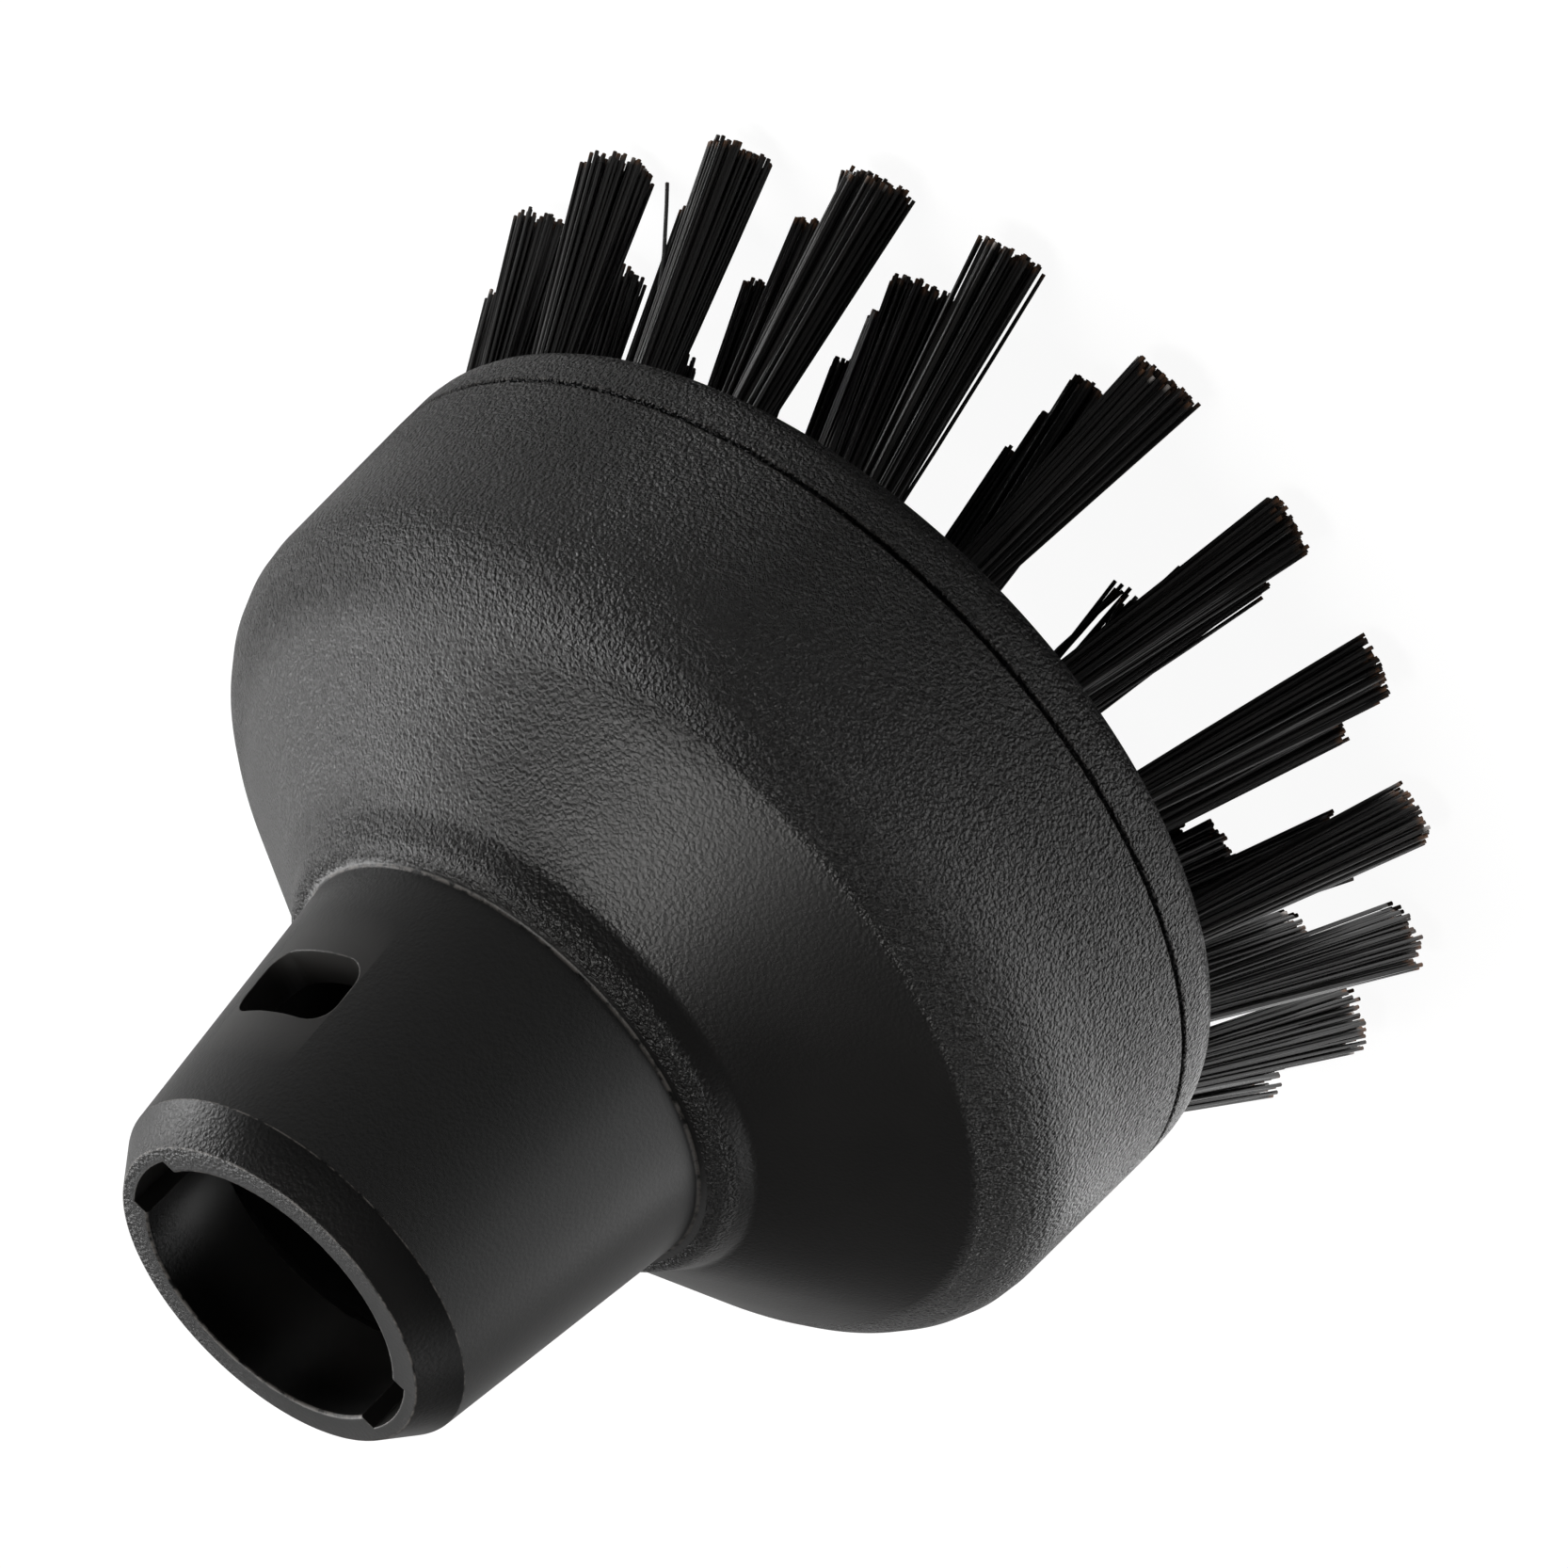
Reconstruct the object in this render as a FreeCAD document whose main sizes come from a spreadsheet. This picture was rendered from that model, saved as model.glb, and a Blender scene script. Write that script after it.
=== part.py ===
import FreeCAD, Part
import os
import re
import Sketcher

# Round scrubbing brush that pushes onto a steam nozzle.
# The brush stands on its bristle tips at Z = 0, with the socket for the nozzle on top.
# The Z axis is the brush's own axis, and the two keyways of the socket lie on the X axis.

DIMENSIONS = [
    # alias, value in millimetres or degrees, what it measures
    ("bell_radius", 32.5, "outside of the housing and of the plate at the seam"),
    ("side_draft", 0.37, "radius lost from the seam to the shoulder"),
    ("shoulder_height", 13.88, "seam to the shoulder's corner before it is rounded"),
    ("shoulder_rounding", 5.5, "radius of the shoulder"),
    ("cone_slope", 35.5, "slope of the cone in degrees"),
    ("bell_wall", 2.2, "wall of the cone, square to its face"),
    ("side_wall", 3.0, "wall of the side above the plate's seat"),
    ("bore_radius", 9.5, "socket for the steam nozzle"),
    ("lip_length", 7.1, "depth of the bayonet lip from the mouth"),
    ("lip_chamfer", 1.0, "chamfer behind the lip"),
    ("keyway_width", 6.6, "width of each keyway across the lip"),
    ("keyway_depth", 1.0, "depth of each keyway into the lip, from the bore"),
    ("mouth_land", 1.91, "flat end face, from the bore to the chamfer"),
    ("mouth_chamfer_width", 1.7, "outward run of the mouth's chamfer"),
    ("mouth_chamfer_height", 2.55, "height of the mouth's chamfer"),
    ("neck_length", 19.74, "foot of the neck to the chamfer"),
    ("neck_taper", 2.3, "radius gained from the chamfer to the foot of the neck"),
    ("neck_wall", 1.7, "wall of the neck below the bayonet lip"),
    ("foot_ledge", 1.35, "ring at the neck's foot, from the neck to its edge"),
    ("foot_drop", 0.25, "fall of that ring's top from the neck outwards"),
    ("foot_rounding", 1.4, "rounding of that ring's edge"),
    ("foot_rise", 2.05, "height of that ring's edge over the cone"),
    ("foot_flank", 1.34, "outward run of that ring's flank"),
    ("foot_blend", 1.2, "hollow blend between that ring and the cone"),
    ("window_width", 8.6, "width of each latch window"),
    ("window_height", 5.1, "height of each latch window"),
    ("window_corner", 1.7, "corner radius of the windows"),
    ("window_depth", 9.98, "mouth to the nearer edge of the windows"),
    ("window_turn", 34.5, "turn in degrees from a keyway to its window"),
    ("seam_gap", 0.3, "open line between the housing and the plate's rim"),
    ("rim_thickness", 3.9, "plate's rim below the seam"),
    ("rim_rounding", 2.0, "rounding of the rim's lower edge"),
    ("register_height", 3.0, "part of the plate that sits inside the housing"),
    ("register_wall", 1.9, "wall of the housing around the register"),
    ("register_clearance", 0.3, "between the register and that wall"),
    ("outlet_radius", 3.5, "steam outlet through the plate"),
    ("edge_margin", 4.2, "plate's edge to the outermost ring of tuft holes"),
    ("tuft_splay", 7.7, "outward run of a tuft from the plate's face to its tip"),
    ("tuft_turn", -3.0, "turn in degrees from a keyway to the first tuft of every ring"),
    ("reach", 15.9, "plate's face to the middle of the tuft tips"),
    ("hole_radius", 1.5, "hole for a tuft"),
    ("hole_depth", 5.0, "depth of a tuft's hole along its own axis"),
    ("root_radius", 1.2, "tuft at the bottom of its hole"),
    ("tip_radius", 2.25, "tuft at its tip"),
    ("flute_share", 0.84, "radius between the bundles of a tuft, as a share of the full one"),
    ("anchor_width", 2.5, "tuft anchor across its hole"),
    ("anchor_height", 1.4, "tuft anchor along its hole"),
    ("anchor_thickness", 0.35, "tuft anchor's metal"),
]

FIRST_RING = 2          # ring numbers count even steps from the axis to the outermost ring
LAST_RING = 5
TUFTS_PER_STEP = 4      # ring k has this many times k tufts
TUFT_BUNDLES = 7        # flutes around each tuft
HOLE_SIDES = 8          # flats around each tuft hole
CUT_MARGIN = 1.0        # how far a cut starts or ends outside the material

doc = FreeCAD.newDocument("RoundBrush")
sheet = doc.addObject("Spreadsheet::Sheet", "Dimensions")
for row, (alias, value, meaning) in enumerate(DIMENSIONS, start=1):
    sheet.set(f"A{row}", alias)
    sheet.set(f"B{row}", str(value))
    sheet.set(f"C{row}", meaning)
    sheet.setAlias(f"B{row}", alias)
doc.recompute()


def cone_height(radius):
    """Height over the seam of the cone's outer face at this radius."""
    return f"(shoulder_height + (shoulder_radius - {radius}) * tan(cone_slope * 1deg))"


# Lengths that follow from the driving ones, as formulas over their names and over those before them
DERIVED = {
    "mouth_radius": "bore_radius + mouth_land",
    "neck_end_radius": "mouth_radius + mouth_chamfer_width",
    "neck_radius": "neck_end_radius + neck_taper",
    "foot_edge_radius": "neck_radius + foot_ledge",
    "foot_radius": "foot_edge_radius + foot_flank",
    "keyway_radius": "bore_radius + keyway_depth",
    "seat_height": "rim_thickness + seam_gap",
    "plate_thickness": "rim_thickness + seam_gap + register_height",
    "shoulder_radius": "bell_radius - side_draft",
    "socket_radius": "bell_radius - register_wall",
    "register_radius": "bell_radius - register_wall - register_clearance",
    "chamber_radius": "bell_radius - side_draft - side_wall",
    "foot_top": f"{cone_height('foot_radius')} + foot_rise",
    "neck_start_height": "foot_top + foot_drop",
    "neck_end_height": "neck_start_height + neck_length",
    "mouth_height": "neck_end_height + mouth_chamfer_height",
    "base_pitch": f"(bell_radius - edge_margin) / {LAST_RING}",
    "tuft_lean": "atan(tuft_splay / reach)",
    "tuft_length": "reach / cos(tuft_lean) + hole_depth - anchor_height",
    "face_height": "reach + tip_radius * sin(tuft_lean)",
    "side_normal": "atan(side_draft / shoulder_height)",
    "cone_normal": "((90 - cone_slope) * 1deg)",
    "lip_back": "mouth_height - lip_length",
    "lip_under": "lip_back - lip_chamfer",
}


def spelled_out(formula):
    """The formula with each derived length, later ones first, replaced by its own in brackets."""
    for name, meaning in reversed(DERIVED.items()):
        formula = re.sub(rf"\b{name}\b", f"({meaning})", formula)
    return formula


def bound(formula):
    """The formula as an expression that reads the sheet's cells."""
    aliases = "|".join(alias for alias, value, meaning in DIMENSIONS)
    return re.sub(rf"\b({aliases})\b", r"Dimensions.\1", spelled_out(formula))


def measure(formula):
    """The formula's present value as a plain number."""
    value = sheet.evalExpression(spelled_out(formula))
    return float(getattr(value, "Value", value))


def origin_feature(body, role):
    return next(f for f in body.Origin.OriginFeatures if f.Role == role)


def new_body(label):
    body = doc.addObject("PartDesign::Body", "".join(word.capitalize() for word in label.split("_")))
    body.Label = label
    return body


def new_sketch(body, name, role, turn=None, lift=None):
    """A sketch on an origin plane, turned about an axis of its own or lifted off the plane."""
    sketch = body.newObject("Sketcher::SketchObject", name)
    sketch.AttachmentSupport = [(origin_feature(body, role), "")]
    sketch.MapMode = "FlatFace"
    if turn:
        axis, formula = turn
        sketch.AttachmentOffset = FreeCAD.Placement(
            FreeCAD.Vector(), FreeCAD.Rotation(axis, measure(formula))
        )
        sketch.setExpression("AttachmentOffset.Rotation.Angle", bound(formula))
    if lift:
        sketch.setExpression("AttachmentOffset.Base.z", bound(lift))
    return sketch


def bind(sketch, constraint, formula):
    sketch.setExpression(f"Constraints[{constraint}]", bound(formula))


def fix_point(sketch, element, end, across, up):
    """Ties one end of an element to the sketch's origin by two bound distances."""
    for kind, formula in (("DistanceX", across), ("DistanceY", up)):
        at = sketch.addConstraint(
            Sketcher.Constraint(kind, -1, 1, element, end, measure(formula))
        )
        bind(sketch, at, formula)


def draw_outline(sketch, corners):
    """A closed outline of straight lines through the corners, each an (across, up) pair of formulas."""
    points = [FreeCAD.Vector(measure(across), measure(up), 0) for across, up in corners]
    count = len(points)
    for i in range(count):
        sketch.addGeometry(Part.LineSegment(points[i], points[(i + 1) % count]), False)
    for i in range(count):
        sketch.addConstraint(Sketcher.Constraint("Coincident", i, 2, (i + 1) % count, 1))
    for i, (across, up) in enumerate(corners):
        fix_point(sketch, i, 1, across, up)


def revolve(body, sketch, name):
    """A full turn of the sketch about its own upright axis."""
    feature = body.newObject("PartDesign::Revolution", name)
    feature.Profile = sketch
    feature.ReferenceAxis = (sketch, ["V_Axis"])
    feature.Angle = 360
    sketch.Visibility = False
    return feature


def rounded(corner, rounding, before, after, bands):
    """Points of a rounded corner between two faces whose normals stand at these angles.

    The rounding is drawn as narrow bands that start and end on the faces. It is negative in a hollow."""
    across, up = corner
    share = f"{rounding} / (1 + cos({after} - {before}))"
    centre_across = f"({across} - {share} * (cos({before}) + cos({after})))"
    centre_up = f"({up} - {share} * (sin({before}) + sin({after})))"
    points = []
    for i in range(bands + 1):
        angle = f"({before} + ({after} - {before}) * {i} / {bands})"
        points.append(
            (
                f"{centre_across} + {rounding} * cos({angle})",
                f"{centre_up} + {rounding} * sin({angle})",
            )
        )
    return points


def turn_copies(body, feature, name, count):
    """Repeats a feature evenly round the Z axis."""
    pattern = body.newObject("PartDesign::PolarPattern", name)
    pattern.Originals = [feature]
    pattern.Axis = (origin_feature(body, "Z_Axis"), [""])
    pattern.Angle = 360
    pattern.Occurrences = count
    body.Tip = pattern
    return pattern


def cone_inside(radius):
    """Height over the seam of the cone's inner face at this radius."""
    return f"({cone_height(radius)} - bell_wall / cos(cone_slope * 1deg))"


def neck_outside(height):
    """Radius of the neck's outer face at this height over the seam."""
    return (
        f"(neck_radius - (neck_radius - neck_end_radius) * ({height} - neck_start_height)"
        " / neck_length)"
    )


def make_housing():
    """Neck, cone and side wall as one hollow moulding, drawn from the seam upwards."""
    foot_height = cone_height("foot_radius")
    flank_normal = "atan(foot_flank / foot_rise)"
    foot_top_normal = "atan(foot_ledge / foot_drop)"
    neck_inside = f"({neck_outside('lip_under')} - neck_wall)"
    body = new_body("housing")
    profile = new_sketch(body, "HousingProfile", "XZ_Plane")
    shoulder = rounded(
        ("shoulder_radius", "shoulder_height"), "shoulder_rounding", "side_normal", "cone_normal", 3
    )
    foot_hollow = rounded(
        ("foot_radius", foot_height), "-foot_blend", "cone_normal", flank_normal, 1
    )
    foot_edge = rounded(
        ("foot_edge_radius", "foot_top"), "foot_rounding", flank_normal, foot_top_normal, 2
    )
    draw_outline(
        profile,
        [
            ("bell_radius", "0"),
            *shoulder,
            *foot_hollow,
            *foot_edge,
            ("neck_radius", "neck_start_height"),
            ("neck_end_radius", "neck_end_height"),
            ("mouth_radius", "mouth_height"),
            ("bore_radius", "mouth_height"),
            ("bore_radius", "lip_back"),
            ("bore_radius + lip_chamfer", "lip_under"),
            (neck_inside, "lip_under"),
            (neck_inside, cone_inside(neck_inside)),
            ("chamber_radius", cone_inside("chamber_radius")),
            ("chamber_radius", "register_height"),
            ("socket_radius", "register_height"),
            ("socket_radius", "0"),
        ],
    )
    shell = revolve(body, profile, "HousingShell")
    body.Tip = shell
    cut_keyways(body)
    cut_windows(body)
    body.setExpression("Placement.Base.z", bound("face_height + seat_height"))
    return body


def cut_keyways(body):
    """Two opposite slots through the lip, open to the bore, for the nozzle's bayonet lugs."""
    sketch = new_sketch(body, "Keyways", "XY_Plane", lift="mouth_height")
    half = "(keyway_width / 2)"
    reach = f"sqrt(keyway_radius ^ 2 - {half} ^ 2)"
    radius = measure("keyway_radius")
    x, y = measure(reach), measure(half)
    centre = FreeCAD.Vector()
    upright = FreeCAD.Vector(0, 0, 1)
    swing = FreeCAD.Vector(x, y, 0).getAngle(FreeCAD.Vector(1, 0, 0))
    half_turn = FreeCAD.Units.parseQuantity("180 deg").getValueAs("rad").Value
    circle = Part.Circle(centre, upright, radius)
    sketch.addGeometry(Part.LineSegment(FreeCAD.Vector(-x, -y, 0), FreeCAD.Vector(x, -y, 0)), False)
    sketch.addGeometry(Part.ArcOfCircle(circle, -swing, swing), False)
    sketch.addGeometry(Part.LineSegment(FreeCAD.Vector(x, y, 0), FreeCAD.Vector(-x, y, 0)), False)
    sketch.addGeometry(Part.ArcOfCircle(circle, half_turn - swing, half_turn + swing), False)
    edges = sketch.GeometryCount
    for i in range(edges):
        sketch.addConstraint(Sketcher.Constraint("Coincident", i, 2, (i + 1) % edges, 1))
    sketch.addConstraint(Sketcher.Constraint("Coincident", 1, 3, -1, 1))
    sketch.addConstraint(Sketcher.Constraint("Coincident", 3, 3, -1, 1))
    sketch.addConstraint(Sketcher.Constraint("Horizontal", 0))
    sketch.addConstraint(Sketcher.Constraint("Horizontal", 2))
    sketch.addConstraint(Sketcher.Constraint("Equal", 1, 3))
    bind(sketch, sketch.addConstraint(Sketcher.Constraint("Radius", 1, radius)), "keyway_radius")
    top = sketch.addConstraint(Sketcher.Constraint("DistanceY", -1, 1, 2, 1, y))
    bind(sketch, top, half)
    low = sketch.addConstraint(Sketcher.Constraint("DistanceY", 0, 1, -1, 1, y))
    bind(sketch, low, half)
    pocket = body.newObject("PartDesign::Pocket", "KeywaySlots")
    pocket.Profile = sketch
    pocket.setExpression("Length", bound("lip_length + lip_chamfer"))
    sketch.Visibility = False
    body.Tip = pocket


def cut_windows(body):
    """Two opposite windows with rounded corners, right through the neck's wall."""
    side = FreeCAD.Vector(0, 1, 0)
    sketch = new_sketch(body, "Windows", "XZ_Plane", turn=(side, "90 - window_turn"))
    half = "(window_width / 2)"
    top = "(mouth_height - window_depth)"
    bottom = "(mouth_height - window_depth - window_height)"
    r = measure("window_corner")
    x, low, high = measure(half), measure(bottom), measure(top)
    sides = [
        ((-x + r, low), (x - r, low)),
        ((x, low + r), (x, high - r)),
        ((x - r, high), (-x + r, high)),
        ((-x, high - r), (-x, low + r)),
    ]
    middles = [(x - r, low + r), (x - r, high - r), (-x + r, high - r), (-x + r, low + r)]
    quarter = FreeCAD.Units.parseQuantity("90 deg").getValueAs("rad").Value
    for i, (start, end) in enumerate(sides):
        line = Part.LineSegment(FreeCAD.Vector(*start, 0), FreeCAD.Vector(*end, 0))
        circle = Part.Circle(FreeCAD.Vector(*middles[i], 0), FreeCAD.Vector(0, 0, 1), r)
        sketch.addGeometry(line, False)
        sketch.addGeometry(Part.ArcOfCircle(circle, (i - 1) * quarter, i * quarter), False)
    edges = sketch.GeometryCount
    for i in range(edges):
        sketch.addConstraint(Sketcher.Constraint("Tangent", i, 2, (i + 1) % edges, 1))
    for i in (0, 4):
        sketch.addConstraint(Sketcher.Constraint("Horizontal", i))
    for i in (2, 6):
        sketch.addConstraint(Sketcher.Constraint("Vertical", i))
    for i in (3, 5, 7):
        sketch.addConstraint(Sketcher.Constraint("Equal", 1, i))
    bind(sketch, sketch.addConstraint(Sketcher.Constraint("Radius", 1, r)), "window_corner")
    for kind, element, value, formula in (
        ("DistanceY", 0, low, bottom),
        ("DistanceY", 4, high, top),
        ("DistanceX", 2, x, half),
        ("DistanceX", 6, -x, f"-{half}"),
    ):
        at = sketch.addConstraint(Sketcher.Constraint(kind, -1, 1, element, 1, value))
        bind(sketch, at, formula)
    pocket = body.newObject("PartDesign::Pocket", "WindowOpenings")
    pocket.Profile = sketch
    pocket.Type = "ThroughAll"
    pocket.Midplane = True
    sketch.Visibility = False
    body.Tip = pocket


def make_plate():
    """Round base: rim below the seam, register inside the housing and a blind hole for each tuft."""
    body = new_body("brush_plate")
    profile = new_sketch(body, "PlateProfile", "XZ_Plane")
    rim = rounded(("bell_radius", "0"), "rim_rounding", "-90deg", "0deg", 3)
    draw_outline(
        profile,
        [
            ("outlet_radius", "0"),
            *rim,
            ("bell_radius", "rim_thickness"),
            ("register_radius", "rim_thickness"),
            ("register_radius", "plate_thickness"),
            ("outlet_radius", "plate_thickness"),
        ],
    )
    disc = revolve(body, profile, "PlateDisc")
    body.Tip = disc
    for ring in range(FIRST_RING, LAST_RING + 1):
        cut_ring_of_holes(body, ring)
    body.Placement.Rotation = FreeCAD.Rotation(FreeCAD.Vector(0, 0, 1), measure("tuft_turn"))
    body.setExpression("Placement.Rotation.Angle", bound("tuft_turn"))
    body.setExpression("Placement.Base.z", bound("face_height"))
    return body


def cut_ring_of_holes(body, ring):
    """Blind holes that lean with their tufts, repeated round the axis."""
    run_out = f"(hole_radius * tan(tuft_lean) + {CUT_MARGIN})"
    side = FreeCAD.Vector(0, -1, 0)
    sketch = new_sketch(body, f"Hole{ring}", "XY_Plane", turn=(side, "tuft_lean"))
    sketch.setExpression(
        "AttachmentOffset.Base.x", bound(f"{ring} * base_pitch + {run_out} * sin(tuft_lean)")
    )
    sketch.setExpression("AttachmentOffset.Base.z", bound(f"-{run_out} * cos(tuft_lean)"))
    draw_outline(
        sketch, fluted_round(f"hole_radius / cos({180 / HOLE_SIDES})", HOLE_SIDES // 2, "1")
    )
    pocket = body.newObject("PartDesign::Pocket", f"TuftHole{ring}")
    pocket.Profile = sketch
    pocket.Reversed = True
    pocket.setExpression("Length", bound(f"{run_out} + hole_depth"))
    sketch.Visibility = False
    turn_copies(body, pocket, f"TuftHoles{ring}", TUFTS_PER_STEP * ring)


def fluted_round(radius, flutes, share):
    """Corners of a round with flutes: the full radius at each crest, a share of it between crests."""
    count = 2 * flutes
    corners = []
    for i in range(count):
        reach = f"{radius} * {share}" if i % 2 else radius
        corners.append((f"{reach} * cos({360 * i / count})", f"{reach} * sin({360 * i / count})"))
    return corners


def make_tuft_form(ring):
    """One ring's tuft, upright on its root: a fluted bundle that widens evenly to its trimmed tip."""
    body = new_body(f"tuft_{ring_letter(ring)}_01")
    root = new_sketch(body, f"Root{ring}", "XY_Plane")
    draw_outline(root, fluted_round("root_radius", TUFT_BUNDLES, "flute_share"))
    pad = body.newObject("PartDesign::Pad", f"Bundle{ring}")
    pad.Profile = root
    pad.setExpression("Length", bound("tuft_length"))
    root.Visibility = False
    doc.recompute()
    flank = body.newObject("PartDesign::Draft", f"Splay{ring}")
    flank.Base = (pad, upright_faces(pad))
    flank.NeutralPlane = (origin_feature(body, "XY_Plane"), [""])
    flank.Reversed = True
    flank.setExpression("Angle", bound(splay_angle()))
    body.Tip = flank
    return body


def upright_faces(feature):
    """Names of the feature's faces that stand along Z."""
    return [
        f"Face{number}"
        for number, face in enumerate(feature.Shape.Faces, start=1)
        if abs(face.normalAt(0, 0).z) < 0.5
    ]


def splay_angle():
    """Angle between a tuft's flutes and its axis, which takes the root's radius to the tip's."""
    step = f"{180 / TUFT_BUNDLES}deg"
    flat_share = (
        f"(flute_share * sin({step}) / sqrt(1 + flute_share ^ 2 - 2 * flute_share * cos({step})))"
    )
    return f"atan((tip_radius - root_radius) * {flat_share} / tuft_length)"


def ring_letter(ring):
    """Rings are lettered from the outermost, a, inwards."""
    return "abcdefgh"[LAST_RING - ring]


def hole_axis(ring, number, along):
    """Placement at a distance along a tuft's axis from the plate's face, Z towards the tip."""
    turn = measure("tuft_turn") + 360 * (number - 1) / (TUFTS_PER_STEP * ring)
    about_z = FreeCAD.Rotation(FreeCAD.Vector(0, 0, 1), turn)
    downwards = FreeCAD.Rotation(FreeCAD.Vector(0, 1, 0), 180 - measure("tuft_lean"))
    rotation = about_z.multiply(downwards)
    mouth = about_z.multVec(FreeCAD.Vector(measure(f"{ring} * base_pitch"), 0, measure("face_height")))
    return FreeCAD.Placement(mouth + rotation.multVec(FreeCAD.Vector(0, 0, along)), rotation)


def make_tufts():
    """A tuft in every hole, the first of each ring drawn and the others linked to it."""
    tufts = []
    for ring in range(LAST_RING, FIRST_RING - 1, -1):
        form = make_tuft_form(ring)
        root = measure("anchor_height - hole_depth")
        form.Placement = hole_axis(ring, 1, root)
        tufts.append(form)
        for number in range(2, TUFTS_PER_STEP * ring + 1):
            copy = doc.addObject("App::Link", f"Tuft{ring}x{number}")
            copy.Label = f"tuft_{ring_letter(ring)}_{number:02d}"
            copy.LinkedObject = form
            copy.Placement = hole_axis(ring, number, root)
            tufts.append(copy)
    return tufts


def make_anchors():
    """A flat metal anchor across the bottom of every tuft hole, all in one sub-part."""
    width = measure("anchor_width")
    height = measure("anchor_height")
    thickness = measure("anchor_thickness")
    solids = []
    for ring in range(LAST_RING, FIRST_RING - 1, -1):
        for number in range(1, TUFTS_PER_STEP * ring + 1):
            anchor = Part.makeBox(
                thickness, width, height, FreeCAD.Vector(-thickness / 2, -width / 2, 0)
            )
            anchor.Placement = hole_axis(ring, number, -measure("hole_depth"))
            solids.append(anchor)
    anchors = doc.addObject("Part::Feature", "TuftAnchors")
    anchors.Label = "tuft_anchors"
    anchors.Shape = Part.makeCompound(solids)
    return anchors


subparts = [make_housing(), make_plate()]
subparts += make_tufts()
subparts.append(make_anchors())
doc.recompute()

failed = [item.Name for item in doc.Objects if "Invalid" in item.State or "Error" in item.State]
if failed:
    raise RuntimeError(f"features that failed: {failed}")

os.makedirs("parts", exist_ok=True)
for subpart in subparts:
    shape = Part.getShape(subpart)
    if shape.isNull() or not shape.isValid() or not shape.Solids:
        raise RuntimeError(f"{subpart.Label} has no valid solid")
    shape.exportStep(f"parts/{subpart.Label}.step")
    print(f"{subpart.Label}: {len(shape.Solids)} solid(s), {shape.Volume:.1f} mm3")
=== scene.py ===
# %% [markdown]
# # A round scrubbing brush, dressed for its picture
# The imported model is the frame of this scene. It gives every size, and nothing here changes one.
# The lesson adds what a camera sees on the real brush: moulded grain, small edge radii, an open seam
# and every single bristle. Everything is in metres, and the brush stands on its tips at Z = 0.

# %% Load the frame
import math
import random

import bmesh
import bpy
from mathutils import Matrix, Vector


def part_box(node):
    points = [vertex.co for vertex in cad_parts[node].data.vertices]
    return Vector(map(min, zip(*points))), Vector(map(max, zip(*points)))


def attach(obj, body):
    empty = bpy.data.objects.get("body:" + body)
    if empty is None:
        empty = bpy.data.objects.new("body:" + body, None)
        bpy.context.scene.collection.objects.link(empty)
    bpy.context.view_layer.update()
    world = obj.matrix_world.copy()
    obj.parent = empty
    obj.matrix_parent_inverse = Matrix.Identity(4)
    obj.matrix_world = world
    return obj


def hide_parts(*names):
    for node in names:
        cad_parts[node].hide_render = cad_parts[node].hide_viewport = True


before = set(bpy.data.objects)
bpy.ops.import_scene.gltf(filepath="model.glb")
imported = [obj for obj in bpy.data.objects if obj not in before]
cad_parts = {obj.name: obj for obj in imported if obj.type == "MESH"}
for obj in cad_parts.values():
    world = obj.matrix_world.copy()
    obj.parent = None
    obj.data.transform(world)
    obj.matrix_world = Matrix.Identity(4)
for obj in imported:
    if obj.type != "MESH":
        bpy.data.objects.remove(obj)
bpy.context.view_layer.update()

# %% [markdown]
# ## Sizes
# The heights and the widest radius are read from the frame's own boxes, so the visible pieces cannot drift
# from the solids. The other sizes are the designer's, in millimetres, and are turned into metres by `MM`.

# %% Sizes taken from the frame
MM = 0.001
housing_low, housing_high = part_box("housing")
plate_low, plate_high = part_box("brush_plate")
FACE = plate_low.z
SEAM = housing_low.z
PLATE_TOP = plate_high.z
MOUTH = housing_high.z
BELL_RADIUS = housing_high.x
print(f"face {FACE / MM:.2f}, seam {SEAM / MM:.2f}, mouth {MOUTH / MM:.2f}, radius {BELL_RADIUS / MM:.2f} mm")

# %% The designer's sizes
SIDE_DRAFT = 0.37 * MM
SHOULDER = SEAM + 13.88 * MM
SHOULDER_ROUNDING = 5.5 * MM
CONE_SLOPE = math.radians(35.5)
BELL_WALL = 2.2 * MM
SIDE_WALL = 3.0 * MM
REGISTER_WALL = 1.9 * MM
REGISTER_GAP = 0.3 * MM
RIM_TOP = SEAM - 0.3 * MM
RIM_ROUNDING = 2.0 * MM
BORE = 9.5 * MM
MOUTH_RADIUS = BORE + 1.91 * MM
NECK_END_RADIUS = MOUTH_RADIUS + 1.7 * MM
NECK_RADIUS = NECK_END_RADIUS + 2.3 * MM
NECK_END = MOUTH - 2.55 * MM
NECK_START = NECK_END - 19.74 * MM
FOOT_EDGE_RADIUS = NECK_RADIUS + 1.35 * MM
FOOT_RADIUS = FOOT_EDGE_RADIUS + 1.34 * MM
FOOT_TOP = NECK_START - 0.25 * MM
LIP_BACK = MOUTH - 7.1 * MM
LIP_UNDER = LIP_BACK - 1.0 * MM
NECK_WALL = 1.7 * MM
OUTLET = 3.5 * MM
HOLE = 1.5 * MM
HOLE_DEPTH = 5.0 * MM
ANCHOR_HEIGHT = 1.4 * MM
BASE_PITCH = (BELL_RADIUS - 4.2 * MM) / 5
TUFT_SPLAY = 7.7 * MM
TUFT_TURN = -3.0
REACH = 15.9 * MM
TIP_RADIUS = 2.25 * MM
RINGS = {"a": 5, "b": 4, "c": 3, "d": 2}
TUFTS_PER_STEP = 4


def cone_height(radius):
    """Height of the cone's outer face at a radius."""
    return SHOULDER + (BELL_RADIUS - SIDE_DRAFT - radius) * math.tan(CONE_SLOPE)


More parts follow.
